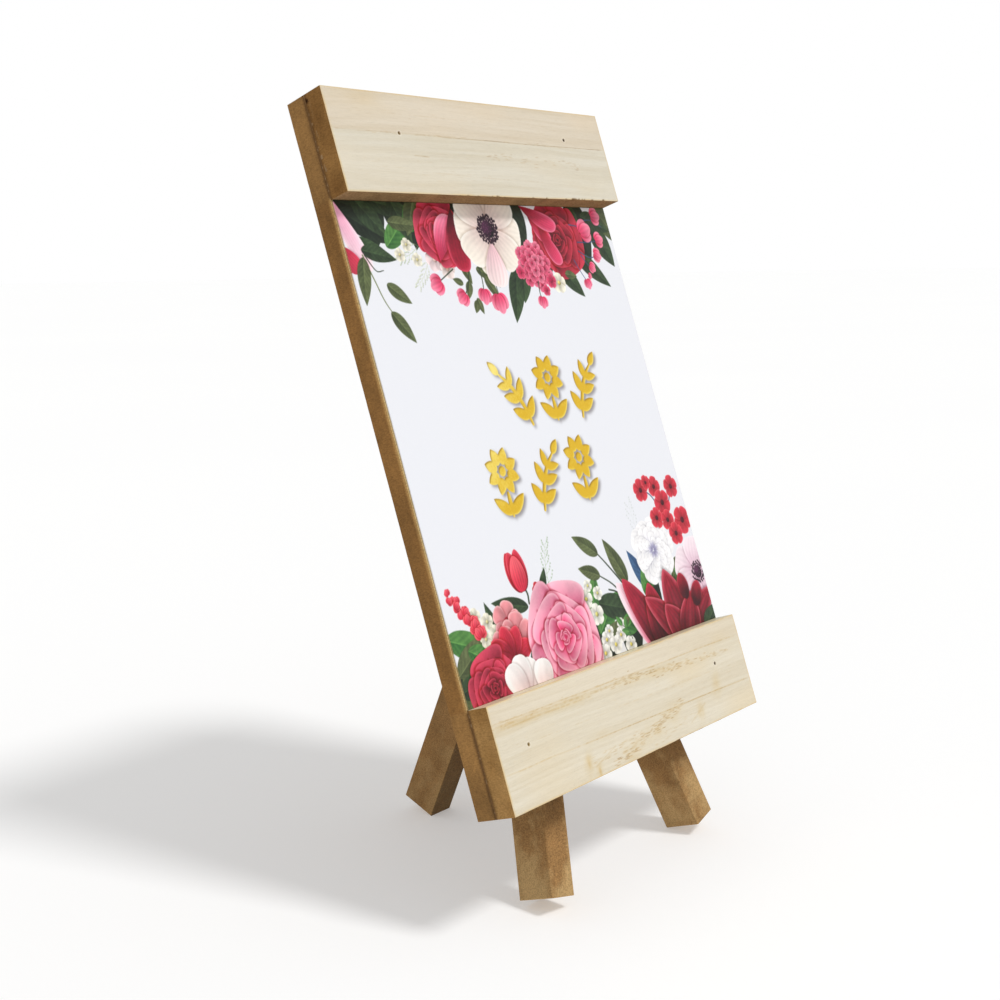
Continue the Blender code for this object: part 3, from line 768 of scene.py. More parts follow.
def slab(lines, radius):
    """A box of fine quads with rounded edges: its points, the way out at each, and its quads.

    lines holds the grid lines along each axis.
    """
    shape = tuple(len(each) for each in lines)
    outside = np.zeros(shape, bool)
    for axis in range(3):
        np.moveaxis(outside, axis, 0)[[0, -1]] = True
    number = np.full(shape, -1)
    number[outside] = np.arange(outside.sum())
    flat = np.stack([each[outside] for each in np.meshgrid(*lines, indexing="ij")], axis=1)
    low, high = np.array([each[0] for each in lines]), np.array([each[-1] for each in lines])
    core = np.clip(flat, low + radius, high - radius)
    out = flat - core
    out /= np.linalg.norm(out, axis=1)[:, None]
    quads = []
    for axis, turned in ((0, False), (1, True), (2, False)):
        for end in (0, -1):
            face = np.moveaxis(number, axis, 0)[end]
            corners = [face[:-1, :-1], face[1:, :-1], face[1:, 1:], face[:-1, 1:]]
            if turned == (end == -1):
                corners.reverse()
            quads.append(np.stack([each.ravel() for each in corners], axis=1))
    return core + out * radius, out, np.concatenate(quads)


def add_piece(name, points, faces, colours, place, material, node=None, mask=1.0):
    """Adds a mesh to the easel, and hides the CAD node it replaces.

    Its points are in millimetres in the frame of the matrix called place, and its colours are
    display colours. mask goes into the paint's alpha, for the material to read.
    """
    mesh = bpy.data.meshes.new(name)
    mesh.from_pydata((points * MM).tolist(), [], faces if isinstance(faces, list) else faces.tolist())
    mesh.polygons.foreach_set("use_smooth", np.ones(len(mesh.polygons), bool))
    paint = mesh.color_attributes.new("paint", "FLOAT_COLOR", "POINT")
    paint.data.foreach_set("color", np.column_stack([linear(colours), np.full(len(points), mask)]).ravel())
    piece = bpy.data.objects.new(name, mesh)
    piece.matrix_world = place
    bpy.context.scene.collection.objects.link(piece)
    mesh.materials.append(material)
    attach(piece, "easel")
    if node:
        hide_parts(node)


# ======== materials


def ink(tone):
    """A display colour or grey as a node's linear colour."""
    tone = np.full(3, tone) if np.isscalar(tone) else tone
    return (*linear(tone), 1.0)


class Material:
    """A short way to write a material's nodes."""

    def __init__(self, name, roughness=0.5, specular=0.5, metallic=0.0):
        self.material = bpy.data.materials.new(name)
        self.material.use_nodes = True
        self.tree = self.material.node_tree
        self.shader = self.tree.nodes["Principled BSDF"]
        self.shader.inputs["Roughness"].default_value = roughness
        self.shader.inputs["Specular IOR Level"].default_value = specular
        self.shader.inputs["Metallic"].default_value = metallic

    def put(self, socket, value):
        """Links a value to a socket, or sets it."""
        if isinstance(value, bpy.types.NodeSocket):
            self.tree.links.new(value, socket)
        else:
            socket.default_value = value

    def node(self, kind, *values, **settings):
        """A new node with its first inputs set or linked."""
        made = self.tree.nodes.new("ShaderNode" + kind)
        for key, value in settings.items():
            setattr(made, key, value)
        for socket, value in zip(made.inputs, values):
            if value is not None:
                self.put(socket, value)
        return made

    def place(self, scale=(1, 1, 1), turn=(0, 0, 0)):
        """Object coordinates in millimetres, turned and then divided by a grain size for each axis."""
        where = self.node("TexCoord").outputs["Object"]
        if any(turn):
            where = self.node("Mapping", where, None, turn, vector_type="POINT").outputs[0]
        sizes = tuple(1 / (MM * each) for each in scale)
        return self.node("Mapping", where, None, None, sizes, vector_type="POINT").outputs[0]

    def noise(self, scale, detail, rough=0.5, turn=(0, 0, 0)):
        """Noise from 0 to 1 with grains of a size for each axis."""
        made = self.node("TexNoise")
        self.put(made.inputs["Vector"], self.place(scale, turn))
        made.inputs["Scale"].default_value = 1
        made.inputs["Detail"].default_value = detail
        made.inputs["Roughness"].default_value = rough
        return made.outputs[0]

    def cells(self, scale, turn):
        """Distance from the nearest of many scattered spots."""
        return self.node("TexVoronoi", self.place(scale, turn), feature="F1").outputs["Distance"]

    def paint(self, output="Color"):
        """What was painted on the mesh: its colour, or the mask in its alpha."""
        return self.node("Attribute", attribute_name="paint").outputs[output]

    def ramp(self, value, *stops):
        """A colour ramp; each stop is a place and a display colour or a single value from 0 to 1."""
        made = self.node("ValToRGB", value)
        elements = made.color_ramp.elements
        while len(elements) < len(stops):
            elements.new(0.5)
        for element, (place, tone) in zip(elements, stops):
            element.position = place
            element.color = ink(tone)
        return made.outputs[0]

    def blend(self, share, first, second, kind="MIX"):
        made = self.node("Mix", data_type="RGBA", blend_type=kind)
        for index, value in ((0, share), (6, first), (7, second)):
            self.put(made.inputs[index], ink(value) if isinstance(value, np.ndarray) else value)
        return made.outputs[2]

    def darken(self, share, colour, value, *stops):
        """A colour times a ramp of a value, in a share of its full strength."""
        return self.blend(share, colour, self.ramp(value, *stops), "MULTIPLY")

    def math(self, kind, first, second):
        return self.node("Math", first, second, operation=kind).outputs[0]

    def bump(self, height, depth):
        """Relief of a depth in millimetres."""
        made = self.node("Bump")
        made.inputs["Distance"].default_value = depth * MM
        self.put(made.inputs["Height"], height)
        self.put(self.shader.inputs["Normal"], made.outputs[0])

    def finish(self, colour, roughness=None):
        self.put(self.shader.inputs["Base Color"], colour)
        if roughness is not None:
            self.put(self.shader.inputs["Roughness"], roughness)
        return self.material


def fibreboard(made, base, turn=(0, 0, 0)):
    """The colour of stained fibreboard over a base: mottled, with short fibres and dark specks."""
    mottle = made.noise((9, 9, 12), 4, 0.6, turn)
    fibres = made.noise((0.9, 0.9, 0.35), 3, 0.6, turn)
    colour = made.darken(1.0, base, mottle, (0.3, 0.88), (0.5, 0.96), (0.7, 1.0))
    colour = made.darken(0.6, colour, fibres, (0.3, 0.66), (0.6, 1.0))
    made.bump(made.math("ADD", fibres, made.math("MULTIPLY", mottle, 0.5)), 0.12)
    return made.darken(0.5, colour, made.cells((2.6, 2.6, 3.6), turn), (0.05, 0.0), (0.13, 1.0))


def bar_material():
    """Planed pale wood with fine pores along it, and fibreboard's brown where the mask says it was cut.

    The wood's own relief takes the place of fibreboard's.
    """
    made = Material("pale wood")
    pores = made.noise((6, 0.5, 0.2), 4, 0.6)
    flecks = made.noise((2.2, 0.4, 0.14), 2)
    planed = made.darken(0.3, made.paint(), pores, (0.3, 0.86), (0.55, 1.0))
    planed = made.darken(0.3, planed, flecks, (0.24, 0.66), (0.38, 1.0))
    cut = fibreboard(made, made.paint())
    made.bump(made.math("ADD", pores, flecks), 0.06)
    mask = made.paint("Alpha")
    made.put(made.shader.inputs["Specular IOR Level"], made.math("MULTIPLY", mask, 0.3))
    return made.finish(made.blend(mask, cut, planed), made.ramp(pores, (0.3, 0.75), (0.7, 0.55)))


def print_material():
    """Printed film: the painted ink under a satin gloss."""
    made = Material("printed film", specular=0.4)
    grain = made.noise((0.35, 0.35, 0.35), 2)
    made.bump(grain, 0.006)
    return made.finish(made.darken(0.06, made.paint(), grain, (0.2, 0.8), (0.8, 1.0)),
                       made.ramp(grain, (0.2, 0.58), (0.8, 0.66)))


def glue_material():
    made = Material("dried glue", 0.8, 0.15)
    grain = made.noise((0.5, 0.5, 0.5), 3, 0.6)
    made.bump(grain, 0.05)
    return made.finish(made.darken(0.4, made.paint(), grain, (0.3, 0.6), (0.6, 1.0)))


def steel_material(name, tone):
    """Plated steel with a fine uneven grain."""
    made = Material(name, metallic=1.0)
    cloud = made.noise((1.6, 1.6, 1.6), 4, 0.6)
    made.bump(made.noise((0.12, 0.9, 0.9), 2), 0.01)
    colour = made.blend(made.ramp(cloud, (0.35, 0.0), (0.75, 0.5)), tone * 0.72, tone)
    return made.finish(colour, made.ramp(cloud, (0.2, 0.55), (0.8, 0.72)))


def nylon_material():
    """Natural nylon: milky, with the faintest moulded texture."""
    made = Material("nylon", 0.45)
    made.shader.inputs["Subsurface Weight"].default_value = 0.1
    made.shader.inputs["Subsurface Radius"].default_value = (0.002, 0.002, 0.002)
    made.bump(made.noise((0.25, 0.25, 0.25), 2), 0.008)
    return made.finish(made.blend(made.noise((2, 2, 2), 3), rgb(222, 219, 206), rgb(236, 234, 224)))


# ======== the board's frame


def board_matrix():
    """From the board's frame to the row frame: X across, Y back, Z up from the board's bottom edge."""
    mounts = {mount["name"]: mount for mount in frame["record"]["mounts"]}
    normal = Vector(mounts["print_face"]["axis"])
    turned = Matrix(((1, 0, 0), -normal, (0, normal.z, -normal.y))).transposed().to_4x4()
    low, _ = box_in(turned, "bottom_bar")
    return turned @ Matrix.Translation((0, low[1] * MM, low[2] * MM))


def box_in(place, node):
    """The lowest and highest corner of a CAD node in a frame given by its matrix, in millimetres."""
    turn = np.array(place.inverted())
    vertices = frame["nodes"][node].data.vertices
    points = np.empty(len(vertices) * 3)
    vertices.foreach_get("co", points)
    points = points.reshape(-1, 3) @ turn[:3, :3].T + turn[:3, 3]
    return points.min(axis=0) / MM, points.max(axis=0) / MM


# ======== the printed sheet


def make_sheet(board):
    """The print: a thin closed sheet whose front carries the ink."""
    low, high = box_in(board, "print_sheet")
    half_board = box_in(board, "back_board")[1][0]
    canvas = Canvas(low[0] + half_board, low[2] - SHEET_REACH, high[0] + half_board, high[2] + SHEET_REACH)
    paint_print(canvas)
    x, z = np.meshgrid(canvas.x - half_board, canvas.z)
    wave = 0.03 * noise(x, z, 38, 46, 71) + 0.015 * noise(x, z, 9, 11, 72)
    front = np.column_stack([x.ravel(), (low[1] + SHEET_SINK + wave).ravel(), z.ravel()])
    number = np.arange(x.size).reshape(x.shape)
    ring = np.concatenate([number[0], number[1:, -1], number[-1, -2::-1], number[-2:0:-1, 0]])
    back = front[ring] * (1, 0, 1) + (0, high[1] + GLUE_GAP, 0)
    behind = len(front) + np.arange(len(ring))
    quads = np.stack([number[:-1, :-1], number[:-1, 1:], number[1:, 1:], number[1:, :-1]], axis=-1)
    rim = np.stack([ring, behind, np.roll(behind, -1), np.roll(ring, -1)], axis=1)
    faces = quads.reshape(-1, 4).tolist() + rim.tolist() + [behind[::-1].tolist()]
    colours = np.concatenate([canvas.colour.reshape(-1, 3), np.tile(rgb(214, 186, 132), (len(ring), 1))])
    add_piece("printed_sheet", np.concatenate([front, back]), faces, colours, board,
              print_material(), "print_sheet")


# ======== bars


def figure(u, v, slope, seed):
    """The wood's figure from -1 to 1: long streaks across a bar that wander a little."""
    level = v - slope * u + 1.1 * noise(u, v, 60, 16, seed)
    broad = noise(u, level, 95, 3.4, seed + 1)
    fine = noise(u, level, 38, 1.0, seed + 2)
    hair = noise(u, level, 16, 0.42, seed + 3)
    return 0.42 * broad + 0.34 * fine + 0.24 * hair


def score(u, v, line):
    """Cover of a thin line in the wood, from 0 to 1."""
    start, end, width, broken, dark = line
    seed = round(10 * start[1] + start[0])
    share = (u - start[0]) / (end[0] - start[0])
    level = start[1] + (end[1] - start[1]) * share + 0.22 * noise_along(u, 16, seed + 50)
    ends = smooth(0, 0.05, share) * smooth(1, 0.95, share)
    gaps = smooth(-0.3, 0.2, 0.5 * noise_along(u, 7, seed + 60) + 0.6 * noise_along(u, 1.1, seed + 61))
    return dark * bell(v - level, width) * ends * (1 - broken * gaps)


def dashes(u, v, band):
    """Cover of a band of short pores in rows along the grain, from 0 to 1."""
    start, end, breadth, count, dark = band
    chance = np.random.default_rng(round(10 * start[1] + start[0]))
    level = v + GRAIN_SLOPE * u + 0.15 * noise_along(u, 5, round(start[0]) + 70)
    cover = np.zeros(len(u))
    for _ in range(count):
        share, half = chance.uniform(), chance.uniform(0.5, 1.8)
        middle = start[0] + (end[0] - start[0]) * share
        row = start[1] + (end[1] - start[1]) * share + GRAIN_SLOPE * middle + chance.normal(0, breadth / 2)
        row = 0.5 * round(row / 0.5) + chance.normal(0, 0.04)
        strength = chance.uniform(0.3, 1)
        near = (np.abs(u - middle) < 1.4 * half) & (np.abs(level - row) < 0.4)
        way, rise = (u[near] - middle) / half, (level[near] - row) / 0.15
        cover[near] = np.maximum(cover[near], strength * np.exp(-way ** 4 - rise ** 2))
    return dark * cover


# A bar's lines: where each starts and ends across and up the bar, its breadth, how broken it is,
# and how dark.
TOP_LINES = (
    ((0, 24), (68, 23.8), 0.2, 0.7, 0.4), ((64, 23.8), (170, 23.6), 0.17, 0.25, 0.66),
    ((58, 23.9), (66, 23.7), 0.22, 0.2, 0.55), ((41, 15.4), (50, 15.1), 0.24, 0.4, 0.45),
    ((30, 9), (120, 7), 0.22, 0.85, 0.16), ((6, 32), (110, 31.2), 0.22, 0.85, 0.16),
)
BOTTOM_LINES = (
    ((0, 33), (170, 31), 0.24, 0.6, 0.44), ((0, 31.8), (74, 30.6), 0.5, 0.6, 0.42),
    ((0, 30.6), (60, 29.9), 0.4, 0.7, 0.34), ((0, 14.7), (46, 14), 0.26, 0.5, 0.36),
    ((44, 14), (170, 11.7), 0.21, 0.45, 0.56), ((20, 22.4), (150, 20.4), 0.22, 0.85, 0.16),
    ((50, 4), (66, 8.6), 0.3, 0.5, 0.2), ((118, 4), (132, 9.6), 0.4, 0.4, 0.22),
)
# A bar's bands of pores: where each starts and ends, its breadth, how many pores, and how dark.
TOP_BANDS = (
    ((86, 17.4), (148, 15.4), 2, 50, 0.6), ((20, 23.9), (160, 23.6), 0.5, 40, 0.45),
    ((10, 13), (90, 11), 6, 50, 0.18), ((10, 34), (160, 32), 7, 80, 0.18),
)
BOTTOM_BANDS = (
    ((0, 32.2), (80, 30.6), 1.6, 70, 0.44), ((72, 31.2), (122, 28), 2, 110, 0.8),
    ((118, 28.4), (160, 26.4), 1.2, 46, 0.66), ((62, 1.6), (80, 3.6), 1.4, 30, 0.9),
    ((70, 4), (96, 9), 2.4, 70, 0.72), ((92, 8), (116, 13.4), 2.2, 70, 0.76),
    ((48, 6), (86, 9), 1.6, 40, 0.5), ((88, 2), (130, 9), 1.6, 24, 0.34),
    ((0, 22), (160, 19), 8, 70, 0.16),
)
# A bar's golden patches: place across and up, reach across and up, and strength.
TOP_PATCHES = ((20, 36, 18, 5, 0.18), (150, 6, 18, 5, 0.15))
BOTTOM_PATCHES = (
    (47, 6, 2.2, 3.8, 0.6), (52, 1.5, 1.8, 3, 0.75), (127, 7, 2.4, 4, 0.48), (143, 14, 3, 5, 0.34),
    (76, 4, 6, 4, 0.34), (92, 7, 6, 4, 0.3), (107, 10.5, 6, 4, 0.34), (82, 29.6, 10, 1.8, 0.32),
    (104, 28.8, 12, 2.2, 0.3), (12, 30.5, 16, 1.8, 0.42), (44, 30.3, 16, 1.5, 0.36), (58, 14, 8, 3, 0.14),
    (150, 30, 14, 5, 0.15),
)
# What else sets the bars apart: colours, the strip above upper_from with its own tone, chips
# along the lower edge, stains round the two brads, whether the seam shows glue and a small hole
# painted dark as shade, and how much painted shade the seam shows.
TOP_BAR = SimpleNamespace(
    name="top_bar", brad_nodes=("brad_top_left", "brad_top_right"), slope=0.0, seed=100,
    face=rgb(223, 216, 199), warm=rgb(226, 211, 184), upper_from=24.0, upper_tone=(1.0, 0.977, 0.96),
    mark_light=rgb(190, 160, 116), mark_dark=rgb(136, 104, 70),
    cut_light=rgb(176, 132, 78), cut_dark=rgb(142, 102, 58),
    lines=TOP_LINES, bands=TOP_BANDS, patches=TOP_PATCHES, chips=lambda u: smooth(20, 120, u),
    stains=(rgb(140, 108, 72), rgb(84, 60, 38)), glue=1, seam=0.45,
)
BOTTOM_BAR = SimpleNamespace(
    name="bottom_bar", brad_nodes=("brad_bottom_left", "brad_bottom_right"), slope=-0.014, seed=200,
    face=rgb(228, 219, 199), warm=rgb(227, 206, 166), upper_from=31.5, upper_tone=(1.0, 0.99, 0.98),
    mark_light=rgb(196, 158, 92), mark_dark=rgb(158, 116, 60),
    cut_light=rgb(206, 162, 104), cut_dark=rgb(168, 126, 74),
    lines=BOTTOM_LINES, bands=BOTTOM_BANDS, patches=BOTTOM_PATCHES, chips=lambda u: 0.25 * smooth(60, 90, u),
    stains=(rgb(182, 152, 92), rgb(96, 74, 50)), glue=0, seam=0.5,
)


def paint_planed(u, v, bar, marks):
    """Display colours of a bar's planed front: streaks, warm patches, marks, and stains round the brads."""
    streaks = figure(u, v, bar.slope, bar.seed)
    colour = mix(bar.face, bar.face * (0.88, 0.84, 0.76), limit(0.16 + 0.34 * streaks))
    colour = mix(colour, bar.warm, limit(0.5 * noise(u, v, 34, 11, bar.seed + 7)))
    for across, up, reach, rise, amount in bar.patches:
        far = np.hypot((u - across - 0.25 * (v - up)) / reach, (v - up) / rise)
        uneven = 0.6 + 0.4 * noise(u, v, 0.7 * reach, 0.7 * rise, bar.seed + 8)
        colour = mix(colour, rgb(206, 172, 106), amount * uneven * bell(far))
    colour = mix(colour, colour * bar.upper_tone, smooth(-0.4, 0.4, v - bar.upper_from))
    colour = mix(colour, mix(bar.mark_light, bar.mark_dark, smooth(0.3, 0.65, marks)), marks)
    for place, stain_and_shade in zip(bar.brads, bar.stains):
        far = np.hypot(u - place[0], v - place[1])
        colour = mix(colour, stain_and_shade, 0.75 * smooth(0.85, 0.5, far))
        colour = mix(colour, rgb(240, 232, 214), 0.4 * bell(far - 1.1, 0.2))
    return colour


def faces_front(out):
    """1 on a bar's front and 0 on its other faces, from the way out of each point."""
    return smooth(0.35, 0.75, -out[:, 1])


def paint_bar(u, v, out, bar, marks):
    """Display colours of a bar, with a duller brown painted as shade on its underside, and 1 where it is
    planed or 0 where it was cut by heat.
    """
    front, upper = faces_front(out), smooth(0.5, 0.8, out[:, 2])
    streaks = figure(u, v, bar.slope, bar.seed + 40)
    top = mix(bar.face * (1.02, 1.04, 0.98), bar.warm, limit(0.3 + 0.5 * streaks))
    cut = mix(bar.cut_dark, bar.cut_light, limit(0.5 + 0.5 * noise(u, v, 7, 9, bar.seed + 21)))
    # Painted shade: the undersides get a duller, greyer brown, as they look in shade
    cut = mix(cut, rgb(158, 130, 98), 0.7 * smooth(0.5, 0.8, -out[:, 2]))
    colour = mix(mix(cut, paint_planed(u, v, bar, marks), front), top, upper)
    return colour, np.maximum(front, upper)


def paint_edges(colour, places, out, box, bar):
    """Adds the golden wear along a bar's front edges, and at its back the painted shade along the seam, the
    dried glue, and the small hole painted dark as shade.
    """
    from_low, from_high = places - box[0], box[1] - places
    front, end = faces_front(out), np.abs(out[:, 0]) > 0.5
    to_edge = np.minimum(from_low, from_high)[:, [0, 2]].min(axis=1)
    uneven = 0.6 + 0.3 * noise(places[:, 0], places[:, 2], 4, 3, bar.seed + 61)
    colour = mix(colour, rgb(222, 184, 114), 0.8 * uneven * front * bell(to_edge, 0.55))
    behind, rest = from_high[:, 1], (1 - front) * (out[:, 2] < 0.5)
    # Painted shade along the seam at the bar's back, on its faces other than the front and the top
    colour = mix(colour, SEAM_SHADE, bar.seam * rest * bell(behind, 0.8))
    specks = smooth(0.35, 0.6, noise(places[:, 2], places[:, 1], 1.8, 0.6, bar.seed + 60))
    colour = mix(colour, rgb(178, 150, 120), 0.7 * bar.glue * end * specks * bell(behind - 0.9))
    # Painted shade: the inside of the small hole at the top of the left seam, near black
    return mix(colour, rgb(60, 38, 24), bar.glue * seam_hole(places, out, box))


def seam_hole(places, out, box):
    """Cover of the small hole at the top of the seam on the left, which is carved and painted dark as shade
    inside it.
    """
    far = np.hypot(box[1][1] - places[:, 1] - 0.6, box[1][2] - places[:, 2] - 2.6)
    return bell(far, 0.8) * (out[:, 0] < -0.5)


def carve_bar(u, v, out, bar, marks):
    """Depth in millimetres by which a bar's surface lies below its flat faces, but for its chips."""
    front = smooth(0.5, 0.9, -out[:, 1])
    depth = 0.03 + 0.03 * figure(u, v, bar.slope, bar.seed) + MARK_DEPTH * front * marks
    for place in bar.brads:
        far = np.hypot(u - place[0], v - place[1])
        depth += front * (DENT_DEPTH * smooth(0.75, 0.5, far) + 0.05 * smooth(1.7, 0.8, far))
    return depth


def chip_edge(u, v, out, bar):
    """Depth of the small chips along a bar's lower front edge, and of the torn corner beside the board."""
    rough = 0.5 * noise_along(u, 3.2, bar.seed + 30) + 0.5 * noise_along(u, 1.0, bar.seed + 31)
    front_edge = smooth(0.2, 0.6, -out[:, 1]) * smooth(1.3, 0.0, v)
    under_edge = (out[:, 2] < -0.5) * smooth(-0.2, -0.6, out[:, 1])
    return CHIP_DEPTH * smooth(0.05, 0.5, rough) * bar.chips(u) * limit(front_edge + under_edge)


def make_bar(board, bar, material):
    low, high = box_in(board, bar.name)
    half = high[0]
    corners = [box_in(board, brad) for brad in bar.brad_nodes]
    bar.brads = [((a[0] + b[0]) / 2 + half, (a[2] + b[2]) / 2 - low[2]) for a, b in corners]
    fine = ([x - half for x, _ in bar.brads], (), [z + low[2] for _, z in bar.brads])
    lines = [grid_lines(*row, EDGE, spots) for *row, spots in zip(low, high, BAR_PITCH, fine)]
    points, out, quads = slab(lines, EDGE)
    u, v = points[:, 0] + half, points[:, 2] - low[2]
    marks = [score(u, v, line) for line in bar.lines] + [dashes(u, v, band) for band in bar.bands]
    marks = np.max(marks, axis=0)
    chips = chip_edge(u, v, out, bar)
    across = np.where(np.abs(out[:, 0]) > 0.7, points[:, 1], u)
    level = np.where(np.abs(out[:, 2]) > 0.7, points[:, 1] + np.where(out[:, 2] > 0, high[2] - low[2], 0), v)
    colours, planed = paint_bar(across, level, out, bar, marks)
    colours = paint_edges(colours, points, out, (low, high), bar)
    colours = mix(colours, rgb(120, 88, 52), 0.8 * smooth(0.1, 0.4, chips))
    hole = SEAM_HOLE_DEPTH * bar.glue * seam_hole(points, out, (low, high))
    points -= out * (carve_bar(u, v, out, bar, marks) + chips + hole)[:, None]
    add_piece(bar.name + "_wood", points, quads, colours, board, material, bar.name, planed)


def make_glue_line(board, bar_name):
    """The thin uneven bead of glue between a bar and the board, a little below their edges."""
    bar_low, bar_high = box_in(board, bar_name)
    low = (bar_low[0], bar_high[1] - 0.8 * EDGE, bar_low[2])
    high = (bar_high[0], box_in(board, "back_board")[0][1] + 0.8 * EDGE, bar_high[2])
    points, out, quads = slab([grid_lines(*row, GLUE_EDGE) for row in zip(low, high, GLUE_PITCH)], GLUE_EDGE)
    sunk = 0.09 + 0.05 * noise(points[:, 0], points[:, 2], 3, 1.7, 401)
    points[:, [0, 2]] -= out[:, [0, 2]] * sunk[:, None]
    pale = smooth(0.35, 0.6, noise(points[:, 0], points[:, 2], 1.4, 1.1, 402))
    # The bead's dark brown is partly the dried glue's own colour and partly painted shade in the seam
    colours = mix(rgb(118, 86, 52), rgb(190, 166, 134), 0.35 * pale)
    add_piece(bar_name + "_glue_line", points, quads, colours, board, glue_material())


# ======== board


def make_board(board):
    """The fibreboard behind everything: brown edges and back, and a paler pressed front."""
    low, high = box_in(board, "back_board")
    points, out, quads = slab([grid_lines(*row, EDGE) for row in zip(low, high, BOARD_PITCH)], EDGE)
    x, y, z = points.T
    side = np.abs(out[:, 0])
    rough = 0.5 + 0.5 * noise(y + 3 * x, z, 0.9, 2.4, 301)
    cloud = limit(0.5 + 0.5 * noise(x + 2 * y, z, 14, 18, 302))
    colours = mix(mix(FIBREBOARD * 0.9, FIBREBOARD * 1.06, cloud), FIBREBOARD * 0.74, 0.25 * rough)
    print_low, print_high = box_in(board, "print_sheet")
    beside_print = smooth(print_low[2] - 2, print_low[2], z) * smooth(print_high[2] + 2, print_high[2], z)
    colours *= 1 - (side * beside_print)[:, None] * (0.045, 0.075, 0.12)
    pale_edge = side * smooth(low[1] + 1.9, low[1] + 0.5, y) * beside_print
    colours = mix(colours, FIBREBOARD * (1.2, 1.26, 1.34), pale_edge)
    # Painted shade along the seam where the bars meet the board's sides
    colours = mix(colours, SEAM_SHADE, 0.55 * (1 - beside_print) * bell(y - low[1], 0.8))
    colours = mix(colours, rgb(226, 198, 142), smooth(0.15, 0.5, -out[:, 1]) * beside_print)
    points -= out * (0.05 * rough)[:, None]
    made = Material("brown fibreboard", 0.8, 0.12)
    material = made.finish(fibreboard(made, made.paint()))
    add_piece("back_board_panel", points, quads, colours, board, material, "back_board")


# ======== legs and hardware


def dress(material, *names):
    for name in names:
        frame["nodes"][name].data.materials.clear()
        frame["nodes"][name].data.materials.append(material)


def dress_leg(name, turn, stain_and_shade, wear_and_light, front):
    """A leg's stained fibreboard, paler towards the foot, partly from wear and partly as painted light where
    the lower leg is lit.

    Higher up it is darkened by painted shade of the board above it, and the faces that look forward are
    darkened by painted shade, each as much as its argument says.
    """
    made = Material(name + " fibreboard", 0.8, 0.12)
    height = made.math("MULTIPLY", made.node("SeparateXYZ", made.place()).outputs[2], 0.01)
    # Painted shade of the board above: darker from 24 mm up to 46 mm and beyond
    colour = made.darken(1.0, fibreboard(made, LEG_WOOD, turn), height, (0.24, 1.0), (0.46, stain_and_shade))
    # Pale patches that grow towards the foot: partly worn mottling and partly painted light, where the lower
    # leg is lit
    patches = made.noise((11, 11, 15), 5, 0.58, turn)
    low_patches = made.math("SUBTRACT", patches, made.math("MULTIPLY", height, 0.5))
    worn_and_lit = made.math("MULTIPLY", made.ramp(low_patches, (0.3, 0.0), (0.5, 1.0)), wear_and_light)
    colour = made.blend(worn_and_lit, colour, LEG_WOOD * (1.16, 1.28, 1.42))
    # Painted shade on the faces that look forward, which lie in the board's shadow
    normal = made.node("SeparateXYZ", made.node("TexCoord").outputs["Normal"]).outputs[1]
    colour = made.darken(1.0, colour, made.math("MULTIPLY", normal, -1), (0.5, 1.0), (0.9, front))
    colour = made.darken(0.6, colour, made.noise((0.5, 0.5, 0.5), 2, 0.5, turn), (0.36, 0.74), (0.58, 1.0))
    colour = made.darken(0.8, colour, made.cells((5.0, 5.0, 5.0), turn), (0.06, 0.35), (0.15, 1.0))
    dress(made.finish(colour), name)


def dress_hardware():
    zinc = steel_material("zinc plate", rgb(206, 206, 202))
    dress(zinc, "pivot_bolt", "pivot_nut", "outer_washer_left", "outer_washer_right")
    dress(zinc, *(name for name in frame["nodes"] if name.startswith("leg_screw")))
    dress(steel_material("tarnished steel", rgb(96, 84, 70)), "brad_top_right", "brad_bottom_right")
    dress(steel_material("brassy steel", rgb(206, 178, 122)), "brad_top_left", "brad_bottom_left")
    dress(nylon_material(), "spacer_washer_left", "spacer_washer_right")


# ======== studio


def make_floor():
    """A pale floor that fades out far beyond the object."""
    bpy.ops.mesh.primitive_circle_add(vertices=96, radius=FLOOR_RADIUS, fill_type="NGON")
    floor = bpy.context.object
    floor.name = "floor"
    made = Material("pale floor", 0.9, 0.2)
    made.shader.inputs["Emission Color"].default_value = PURE_WHITE
    made.shader.inputs["Emission Strength"].default_value = FLOOR_GLOW
    cloud = made.noise((900, 900, 900), 2)
    floor.data.materials.append(made.finish(made.blend(cloud, rgb(226, 226, 226), rgb(229, 229, 228))))


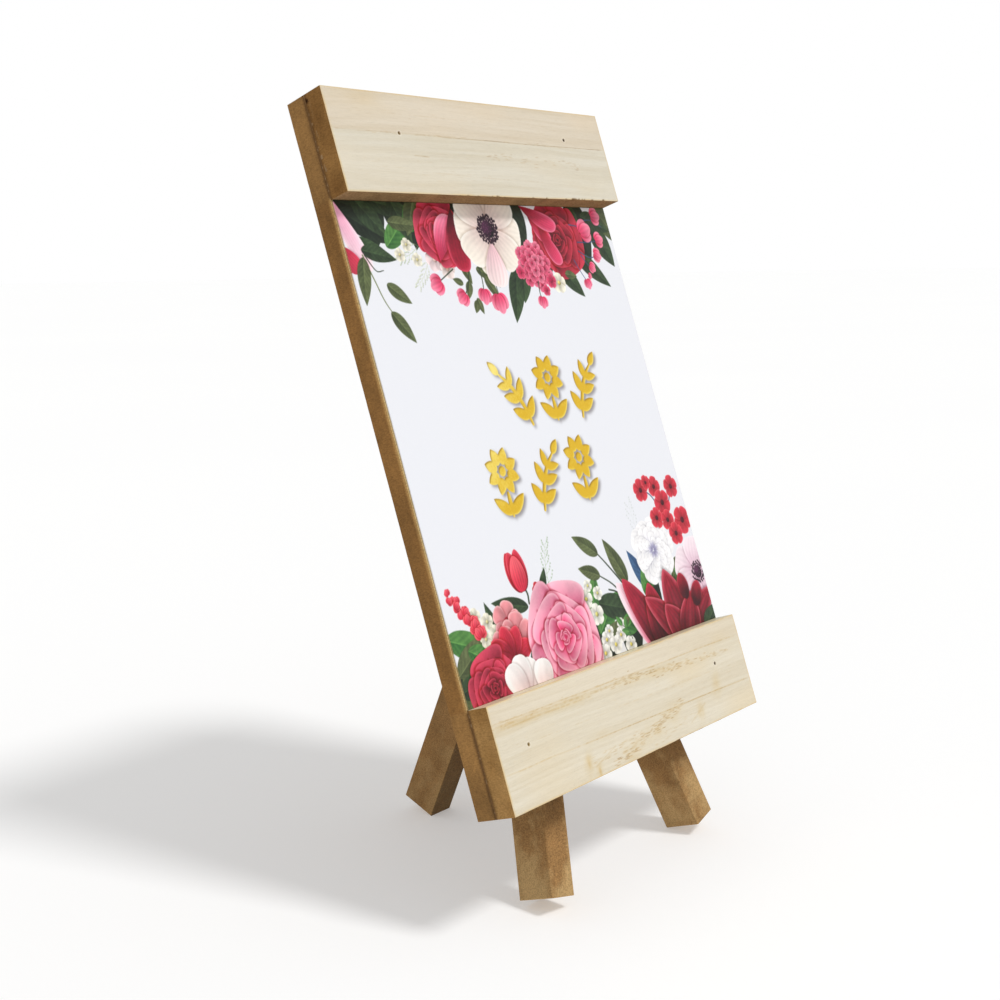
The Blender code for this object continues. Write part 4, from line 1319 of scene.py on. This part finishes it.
def light_studio():
    """Soft white light from all round, a white background, and one broad lamp above the front."""
    world = bpy.data.worlds.new("studio")
    bpy.context.scene.world = world
    world.use_nodes = True
    nodes, links = world.node_tree.nodes, world.node_tree.links
    seen = nodes.new("ShaderNodeBackground")
    seen.inputs["Color"].default_value = PURE_WHITE
    nodes["Background"].inputs["Color"].default_value = PURE_WHITE
    nodes["Background"].inputs["Strength"].default_value = FILL
    both = nodes.new("ShaderNodeMixShader")
    links.new(nodes.new("ShaderNodeLightPath").outputs["Is Camera Ray"], both.inputs[0])
    links.new(nodes["Background"].outputs[0], both.inputs[1])
    links.new(seen.outputs[0], both.inputs[2])
    links.new(both.outputs[0], nodes["World Output"].inputs["Surface"])
    bpy.context.scene.view_settings.view_transform = "Standard"
    light = bpy.data.lights.new("key", "SUN")
    light.energy = KEY_POWER
    light.angle = math.radians(KEY_BREADTH)
    lamp = bpy.data.objects.new("key", light)
    bpy.context.scene.collection.objects.link(lamp)
    lamp.rotation_euler = (math.radians(90 - KEY_RISE), 0, math.radians(KEY_SWING))


def add_camera():
    data = bpy.data.cameras.new("camera")
    data.lens = CAMERA_LENS
    data.clip_start = 0.01
    camera = bpy.data.objects.new("camera", data)
    bpy.context.scene.collection.objects.link(camera)
    turned = Matrix.Rotation(math.radians(-CAMERA_HEADING), 4, "Z")
    turned @= Matrix.Rotation(math.radians(90 + CAMERA_TILT), 4, "X")
    turned @= Matrix.Rotation(math.radians(CAMERA_ROLL), 4, "Z")
    camera.matrix_world = Matrix.Translation(Vector(CAMERA_PLACE) * MM) @ turned
    bpy.context.scene.camera = camera


with open("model.json") as file:
    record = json.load(file)
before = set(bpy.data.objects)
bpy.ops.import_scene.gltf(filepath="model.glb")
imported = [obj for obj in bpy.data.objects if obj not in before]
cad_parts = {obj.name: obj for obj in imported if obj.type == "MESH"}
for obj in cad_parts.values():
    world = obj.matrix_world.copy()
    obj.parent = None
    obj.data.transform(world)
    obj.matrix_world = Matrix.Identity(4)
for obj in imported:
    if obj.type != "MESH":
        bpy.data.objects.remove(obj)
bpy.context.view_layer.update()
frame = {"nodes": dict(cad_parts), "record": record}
board = board_matrix()
make_sheet(board)
planed_wood = bar_material()
make_bar(board, TOP_BAR, planed_wood)
make_bar(board, BOTTOM_BAR, planed_wood)
make_board(board)
make_glue_line(board, "top_bar")
make_glue_line(board, "bottom_bar")
lean = math.atan2(board[1][2], board[2][2])
dress_leg("front_leg_left", (lean, -SPLAY, 0), stain_and_shade=0.84, wear_and_light=0.66, front=1.0)
dress_leg("front_leg_right", (lean, SPLAY, 0), stain_and_shade=0.84, wear_and_light=0.6, front=1.0)
dress_leg("rear_leg", (lean - REAR_SWING, 0, 0), stain_and_shade=1.0, wear_and_light=0.35, front=0.7)
dress_hardware()
make_floor()
light_studio()
add_camera()
